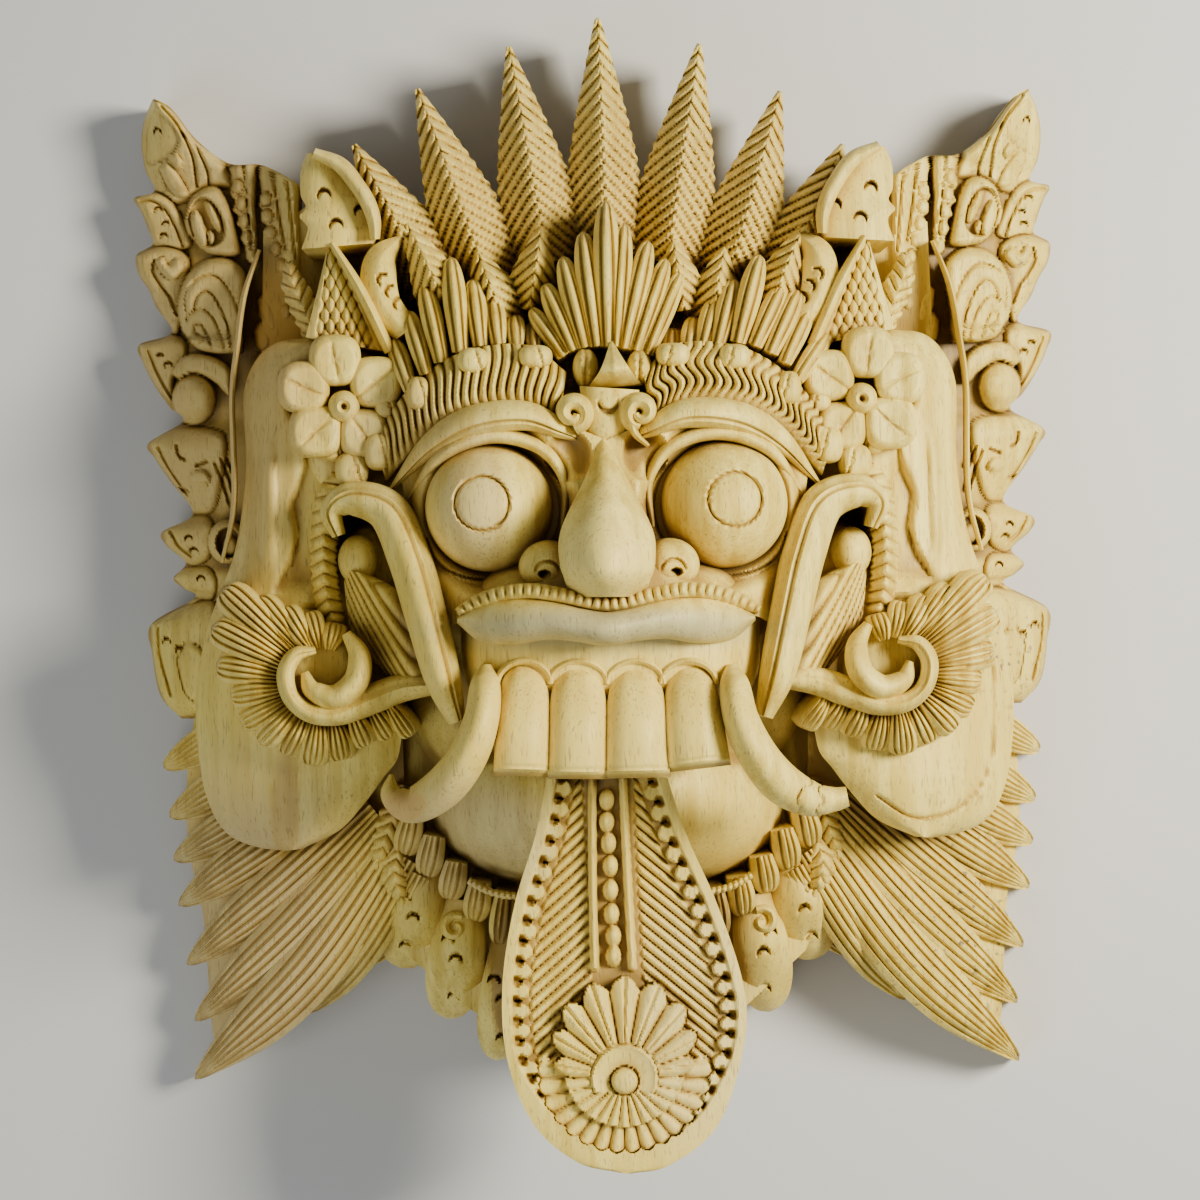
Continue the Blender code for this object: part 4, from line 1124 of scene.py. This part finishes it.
# %% Chin ornament
PENDANTS = [((424, 868), (398, 967), 30), ((462, 900), (446, 1018), 29), ((506, 940), (494, 1060), 24)]
FRINGE = [
    ((410, 818), (402, 856)), ((432, 836), (424, 878)), ((454, 862), (447, 900)), ((478, 882), (472, 922)),
    ((504, 892), (498, 946)),
]
SPRAYS = [
    [(404, 786, 46), (388, 826, 50), (372, 872, 46)], [(398, 846, 46), (392, 872, 50), (402, 906, 48)],
]
ROPE = [(466, 880, 66), (482, 889, 68), (498, 894, 69), (514, 896, 70)]
chin = [roll(ROPE, [4] * 3, [4] * 3, 120, 10, lambda a, angle, half: ribs(a / 6 + angle / 6.283, 1.4))]
for root, tip, half in PENDANTS:
    spine = spine_between(root, tip, (44, 44, 26))
    middle = spine[1]
    dots = [(middle[0], middle[1]), (tip[0] + 6, tip[1] - 22), (middle[0] - 8, middle[1] - 20)]
    chin.append(leaf(spine, [half * 0.7, half, half], 6, 0, 50, 37, 2, True,
                     crescents(dots, 7, -100, 4)))
for root, tip in FRINGE:
    spine = spine_between(root, tip, (60, 58, 48))
    chin.append(leaf(spine, [11, 14, 14], 5, 20, 28, 25, 1.8, True, flutes((-0.4, 0.1, 0.5))))
for spray in SPRAYS:
    chin.append(acanthus(spray, 15, 5, 10))
chin.append(spiral((453, 927), (13, 3), 1.1, 60, 48, [5, 5, 3], [5, 5, 4]))
carve("chin", both(chin))

# %% [markdown]
# ## The block
# The board and the bulges of the head are joined behind the ornament, and the back is scooped out with
# the half egg measured above.

# %% The block, cut and hollowed
BOARD_SKIN = plate(BOARD, BOARD_LEVEL)
block = carve("block", HEAD + [BOARD_SKIN, mirrored(BOARD_SKIN)])
bpy.ops.object.select_all(action="DESELECT")
bpy.ops.mesh.primitive_uv_sphere_add(segments=64, ring_count=40, radius=1)
egg = bpy.context.object
egg.scale = (HOLLOW_WIDTH / 2, HOLLOW_LENGTH / 2, HOLLOW_DEPTH)
egg.location = (0, place((AXIS_COLUMN, HOLLOW_ROW, 0))[1], 0)
bpy.context.view_layer.update()
cutting = block.modifiers.new("hollow", "BOOLEAN")
cutting.operation = "DIFFERENCE"
cutting.object = egg
cutting.use_self = True
bpy.context.view_layer.objects.active = block
bpy.ops.object.modifier_apply(modifier="hollow")
bpy.data.objects.remove(egg)
print("block after the hollow", len(block.data.polygons), "faces")

# %% [markdown]
# ## How deep each point lies
# Shade is painted into what a hand can't reach, with a little of the ochre of wax and dust there.
# Every point is compared with the highest wood around it, on a plan of one millimetre cells, and the
# result is kept on the point for the wood to read.

# %% Depth of the ground
CELL, PLAN_MARGIN = 0.001, 0.03
NEAR_CELLS, WIDE_CELLS = 3, 9  # the wood around a point: its reach in cells, and how much lower is deep
NEAR_DEPTH, WIDE_DEPTH = 0.006, 0.015
tops = np.concatenate([np.array([v.co for v in piece.data.vertices]) for piece in PIECES.values()])
corner_low = np.array(CAD_BOX[0])[:2] - PLAN_MARGIN
size = ((np.array(CAD_BOX[1])[:2] + PLAN_MARGIN - corner_low) / CELL).astype(int) + 1
plan = np.zeros(size)
cells = ((tops[:, :2] - corner_low) / CELL).astype(int)
np.maximum.at(plan, (cells[:, 0], cells[:, 1]), tops[:, 2])


def looked_at(points):
    """The column and row at which each point is seen, the rule of placing turned round."""
    spread = GRID * (1 - points[:, 2] / SIGHT)
    u, v = (points[:, 0] + points[:, 2] * SIDE_SIGHT) / spread, (points[:, 1] + MIDDLE_Y) / spread
    across = u * math.cos(TURNED) - v * math.sin(TURNED)
    up = u * math.sin(TURNED) + v * math.cos(TURNED)
    return np.stack([AXIS_COLUMN + across, MIDDLE_ROW - up], axis=1)


# Each patch: spot, reach across and down, colour, strength
STAINS_AND_SHADE = [
    # The first two patches are painted shade on the left side panel and the left wing; the rest are stains.
    ((215, 330), (90, 260), (0.50, 0.33, 0.15), 0.55), ((235, 950), (110, 170), (0.42, 0.31, 0.19), 0.6),
    ((283, 812), (15, 60), (0.40, 0.25, 0.09), 0.7), ((403, 806), (24, 16), (0.50, 0.24, 0.11), 0.5),
    ((605, 628), (150, 21), (0.31, 0.32, 0.225), 0.65), ((470, 500), (34, 80), (0.56, 0.45, 0.29), 0.35),
    ((600, 560), (45, 60), (0.86, 0.71, 0.24), 0.5), ((604, 728), (125, 52), (0.80, 0.62, 0.15), 0.6),
    ((400, 440), (70, 60), (0.50, 0.36, 0.15), 0.45), ((690, 1020), (60, 120), (0.82, 0.72, 0.38), 0.3),
    ((470, 840), (70, 60), (0.46, 0.38, 0.24), 0.5), ((600, 160), (260, 90), (0.60, 0.44, 0.16), 0.35),
]
MILDEW = [((960, 930), (80, 140)), ((1008, 655), (40, 60)), ((1000, 240), (50, 120))]


def stained_and_shaded(picture):
    """The colour and strength of the stains and painted shade at each spot, and how strong the mildew specks
    are.
    """
    colour, strength = np.full((len(picture), 3), 0.5), np.zeros(len(picture))
    for spot, reach, tint, most in STAINS_AND_SHADE:
        weight = most * np.clip(1.4 - np.hypot(*((picture - spot) / reach).T), 0, 0.7) / 0.7
        colour += (np.array(tint) - colour) * (weight > strength)[:, None]
        strength = np.maximum(strength, weight)
    specks = np.zeros(len(picture))
    for spot, reach in MILDEW:
        specks = np.maximum(specks, np.clip(1.3 - np.hypot(*((picture - spot) / reach).T), 0, 1))
    return np.column_stack([colour, strength]), specks


near, wide = blurred(plan, NEAR_CELLS), blurred(plan, WIDE_CELLS)
for piece in PIECES.values():
    count = len(piece.data.vertices)
    spots = np.empty(count * 3)
    piece.data.vertices.foreach_get("co", spots)
    spots = spots.reshape(-1, 3)
    cells = ((spots[:, :2] - corner_low) / CELL).astype(int)
    lower = np.clip((near[cells[:, 0], cells[:, 1]] - spots[:, 2]) / NEAR_DEPTH, 0, 1)
    lower = 0.6 * lower + 0.4 * np.clip((wide[cells[:, 0], cells[:, 1]] - spots[:, 2]) / WIDE_DEPTH, 0, 1)
    cut = np.zeros(count)
    if "cut" in piece.data.attributes:
        piece.data.attributes["cut"].data.foreach_get("value", cut)
    # Painted shade for each point, from the depth of its cut and how far it lies below the wood round it.
    shade = np.clip(0.45 * cut + 0.65 * lower, 0, 1)
    piece.data.attributes.new("recess_shade", "FLOAT", "POINT").data.foreach_set("value", shade)
    stain_and_shade, mildew = stained_and_shaded(looked_at(spots))
    piece.data.attributes.new("stain_and_shade", "FLOAT_COLOR", "POINT").data.foreach_set("color", stain_and_shade.ravel())
    piece.data.attributes.new("mildew", "FLOAT", "POINT").data.foreach_set("value", mildew)
print("points", len(tops))

# %% [markdown]
# ## The wood
# Pale, close wood with faint upright figure, tiny pores along the grain, a warm brown painted into the
# cuts as shade with a little wax tint, and a little sheen where it was sanded. The figure is a noise
# stretched along the grain.

# %% Wood
def socket(group, name, kind, way, value=None):
    made = group.interface.new_socket(name=name, in_out=way, socket_type=kind)
    if value is not None:
        made.default_value = value


def node(tree, kind, **values):
    made = tree.nodes.new(kind)
    for key, value in values.items():
        setattr(made, key, value)
    return made


def noise(tree, vector, **values):
    """A noise read over a vector, with its inputs set by their names."""
    made = node(tree, "ShaderNodeTexNoise")
    tree.links.new(vector, made.inputs["Vector"])
    for name, value in values.items():
        made.inputs[name].default_value = value
    return made


def stretched(tree, vector, scale):
    made = node(tree, "ShaderNodeMapping")
    made.inputs["Scale"].default_value = scale
    tree.links.new(vector, made.inputs["Vector"])
    return made.outputs[0]


def ramp(tree, source, low, high):
    made = node(tree, "ShaderNodeMapRange")
    made.inputs["From Min"].default_value = low
    made.inputs["From Max"].default_value = high
    tree.links.new(source, made.inputs["Value"])
    return made.outputs[0]


def grain_group():
    group = bpy.data.node_groups.new("wood grain", "ShaderNodeTree")
    socket(group, "Vector", "NodeSocketVector", "INPUT")
    socket(group, "Streaks", "NodeSocketFloat", "INPUT", 220.0)
    socket(group, "Figure", "NodeSocketFloat", "OUTPUT")
    socket(group, "Pores", "NodeSocketFloat", "OUTPUT")
    enter, leave = group.nodes.new("NodeGroupInput"), group.nodes.new("NodeGroupOutput")
    where = enter.outputs["Vector"]
    streaks = noise(group, stretched(group, where, (1.0, 0.05, 0.5)), Detail=5, Roughness=0.6)
    pores = noise(group, stretched(group, where, (1.0, 0.12, 1.0)), Scale=1500, Detail=2)
    group.links.new(enter.outputs["Streaks"], streaks.inputs["Scale"])
    group.links.new(streaks.outputs[0], leave.inputs["Figure"])
    group.links.new(ramp(group, pores.outputs[0], 0.58, 0.70), leave.inputs["Pores"])
    return group


def mix(tree, factor, low, high):
    """A mix of two colours, each a socket or a plain colour."""
    made = node(tree, "ShaderNodeMix", data_type="RGBA")
    for spot, value in ((0, factor), (6, low), (7, high)):
        if isinstance(value, bpy.types.NodeSocket):
            tree.links.new(value, made.inputs[spot])
        else:
            made.inputs[spot].default_value = value
    return made.outputs[2]


CREAM, GOLD, STRAW = (0.85, 0.70, 0.18, 1), (0.62, 0.455, 0.075, 1), (0.76, 0.57, 0.11, 1)
# Painted shade for the recesses: ochre, partly the wax in the cuts, and dark umber for the deepest.
OCHRE_WAX_AND_SHADE, UMBER_SHADE = (0.42, 0.27, 0.055, 1), (0.13, 0.072, 0.016, 1)
MILDEW_BROWN, PORE_BROWN, GLINT = (0.22, 0.16, 0.09, 1), (0.22, 0.13, 0.05, 1), (1.0, 0.88, 0.62, 1)


def pale_wood():
    material = bpy.data.materials.new("pale_wood")
    material.use_nodes = True
    tree = material.node_tree
    shader = tree.nodes["Principled BSDF"]
    where = node(tree, "ShaderNodeTexCoord").outputs["Object"]
    grain = node(tree, "ShaderNodeGroup", node_tree=grain_group())
    tree.links.new(where, grain.inputs["Vector"])
    recess_shade = node(tree, "ShaderNodeAttribute", attribute_name="recess_shade").outputs["Fac"]
    broad = noise(tree, where, Scale=14)
    base = mix(tree, ramp(tree, grain.outputs["Figure"], 0.40, 0.62), CREAM, GOLD)
    base = mix(tree, ramp(tree, broad.outputs[0], 0.42, 0.75), base, STRAW)
    # Stains of the wood, and painted shade on the left side panel and the left wing.
    stain_and_shade = node(tree, "ShaderNodeAttribute", attribute_name="stain_and_shade")
    base = mix(tree, stain_and_shade.outputs["Alpha"], base, stain_and_shade.outputs["Color"])
    specks = noise(tree, where, Scale=380, Detail=4)
    mildew = node(tree, "ShaderNodeMath", operation="MULTIPLY")
    mildewed = node(tree, "ShaderNodeAttribute", attribute_name="mildew").outputs["Fac"]
    tree.links.new(mildewed, mildew.inputs[0])
    tree.links.new(ramp(tree, specks.outputs[0], 0.60, 0.68), mildew.inputs[1])
    base = mix(tree, mildew.outputs[0], base, MILDEW_BROWN)
    # Painted shade: ochre where a point lies a little low, dark umber in the deepest cuts.
    base = mix(tree, ramp(tree, recess_shade, 0.08, 0.5), base, OCHRE_WAX_AND_SHADE)
    base = mix(tree, ramp(tree, recess_shade, 0.4, 1.0), base, UMBER_SHADE)
    pore = node(tree, "ShaderNodeMath", operation="MULTIPLY")
    tree.links.new(grain.outputs["Pores"], pore.inputs[0])
    pore.inputs[1].default_value = 0.5
    base = mix(tree, pore.outputs[0], base, PORE_BROWN)
    tree.links.new(base, shader.inputs["Base Color"])
    shader.inputs["Specular Tint"].default_value = GLINT
    rough = node(tree, "ShaderNodeMapRange")
    rough.inputs["To Min"].default_value = 0.42
    rough.inputs["To Max"].default_value = 0.62
    tree.links.new(broad.outputs[0], rough.inputs["Value"])
    tree.links.new(rough.outputs[0], shader.inputs["Roughness"])
    tool = noise(tree, where, Scale=420)
    height = node(tree, "ShaderNodeMath", operation="SUBTRACT")
    tree.links.new(tool.outputs[0], height.inputs[0])
    tree.links.new(pore.outputs[0], height.inputs[1])
    dents = node(tree, "ShaderNodeBump")
    dents.inputs["Strength"].default_value = 0.35
    dents.inputs["Distance"].default_value = 0.0004
    tree.links.new(height.outputs[0], dents.inputs["Height"])
    tree.links.new(dents.outputs[0], shader.inputs["Normal"])
    return material


wood = pale_wood()
for piece in PIECES.values():
    piece.data.materials.clear()
    piece.data.materials.append(wood)
print("wood on", len(PIECES), "pieces")

# %% [markdown]
# ## Floor and light
# A plain pale floor, a small warm lamp low on the right, a broad cool one on the left that fills the
# shadows, and a faint pale world. The small lamp gives the cuts their hard shadows.

# %% Floor and light
FLOOR_SIZE, AIM = 8, Vector((0, 0, 0.06))
# Each lamp: name, place, size, power, colour
LAMPS = [
    ("key", (0.55, 0.15, 0.65), 0.24, 14.5, (1, 0.94, 0.80)),
    ("fill", (-0.6, -0.5, 0.8), 0.8, 5, (0.93, 0.97, 1)),
]
bpy.ops.object.select_all(action="DESELECT")
bpy.ops.mesh.primitive_plane_add(size=FLOOR_SIZE)
floor = bpy.context.object
floor.name = "floor"
paint = bpy.data.materials.new("pale_floor")
paint.use_nodes = True
paint.node_tree.nodes["Principled BSDF"].inputs["Base Color"].default_value = (0.62, 0.62, 0.60, 1)
paint.node_tree.nodes["Principled BSDF"].inputs["Roughness"].default_value = 0.8
floor.data.materials.append(paint)
for name, spot, size, power, colour in LAMPS:
    data = bpy.data.lights.new(name, "AREA")
    data.size, data.energy, data.color = size, power, colour
    lamp = bpy.data.objects.new(name, data)
    bpy.context.scene.collection.objects.link(lamp)
    lamp.location = spot
    lamp.rotation_euler = (Vector(spot) - AIM).to_track_quat("Z", "Y").to_euler()
world = bpy.data.worlds.new("world")
bpy.context.scene.world = world
world.use_nodes = True
world.node_tree.nodes["Background"].inputs[0].default_value = (0.94, 0.97, 1, 1)
world.node_tree.nodes["Background"].inputs[1].default_value = 0.17
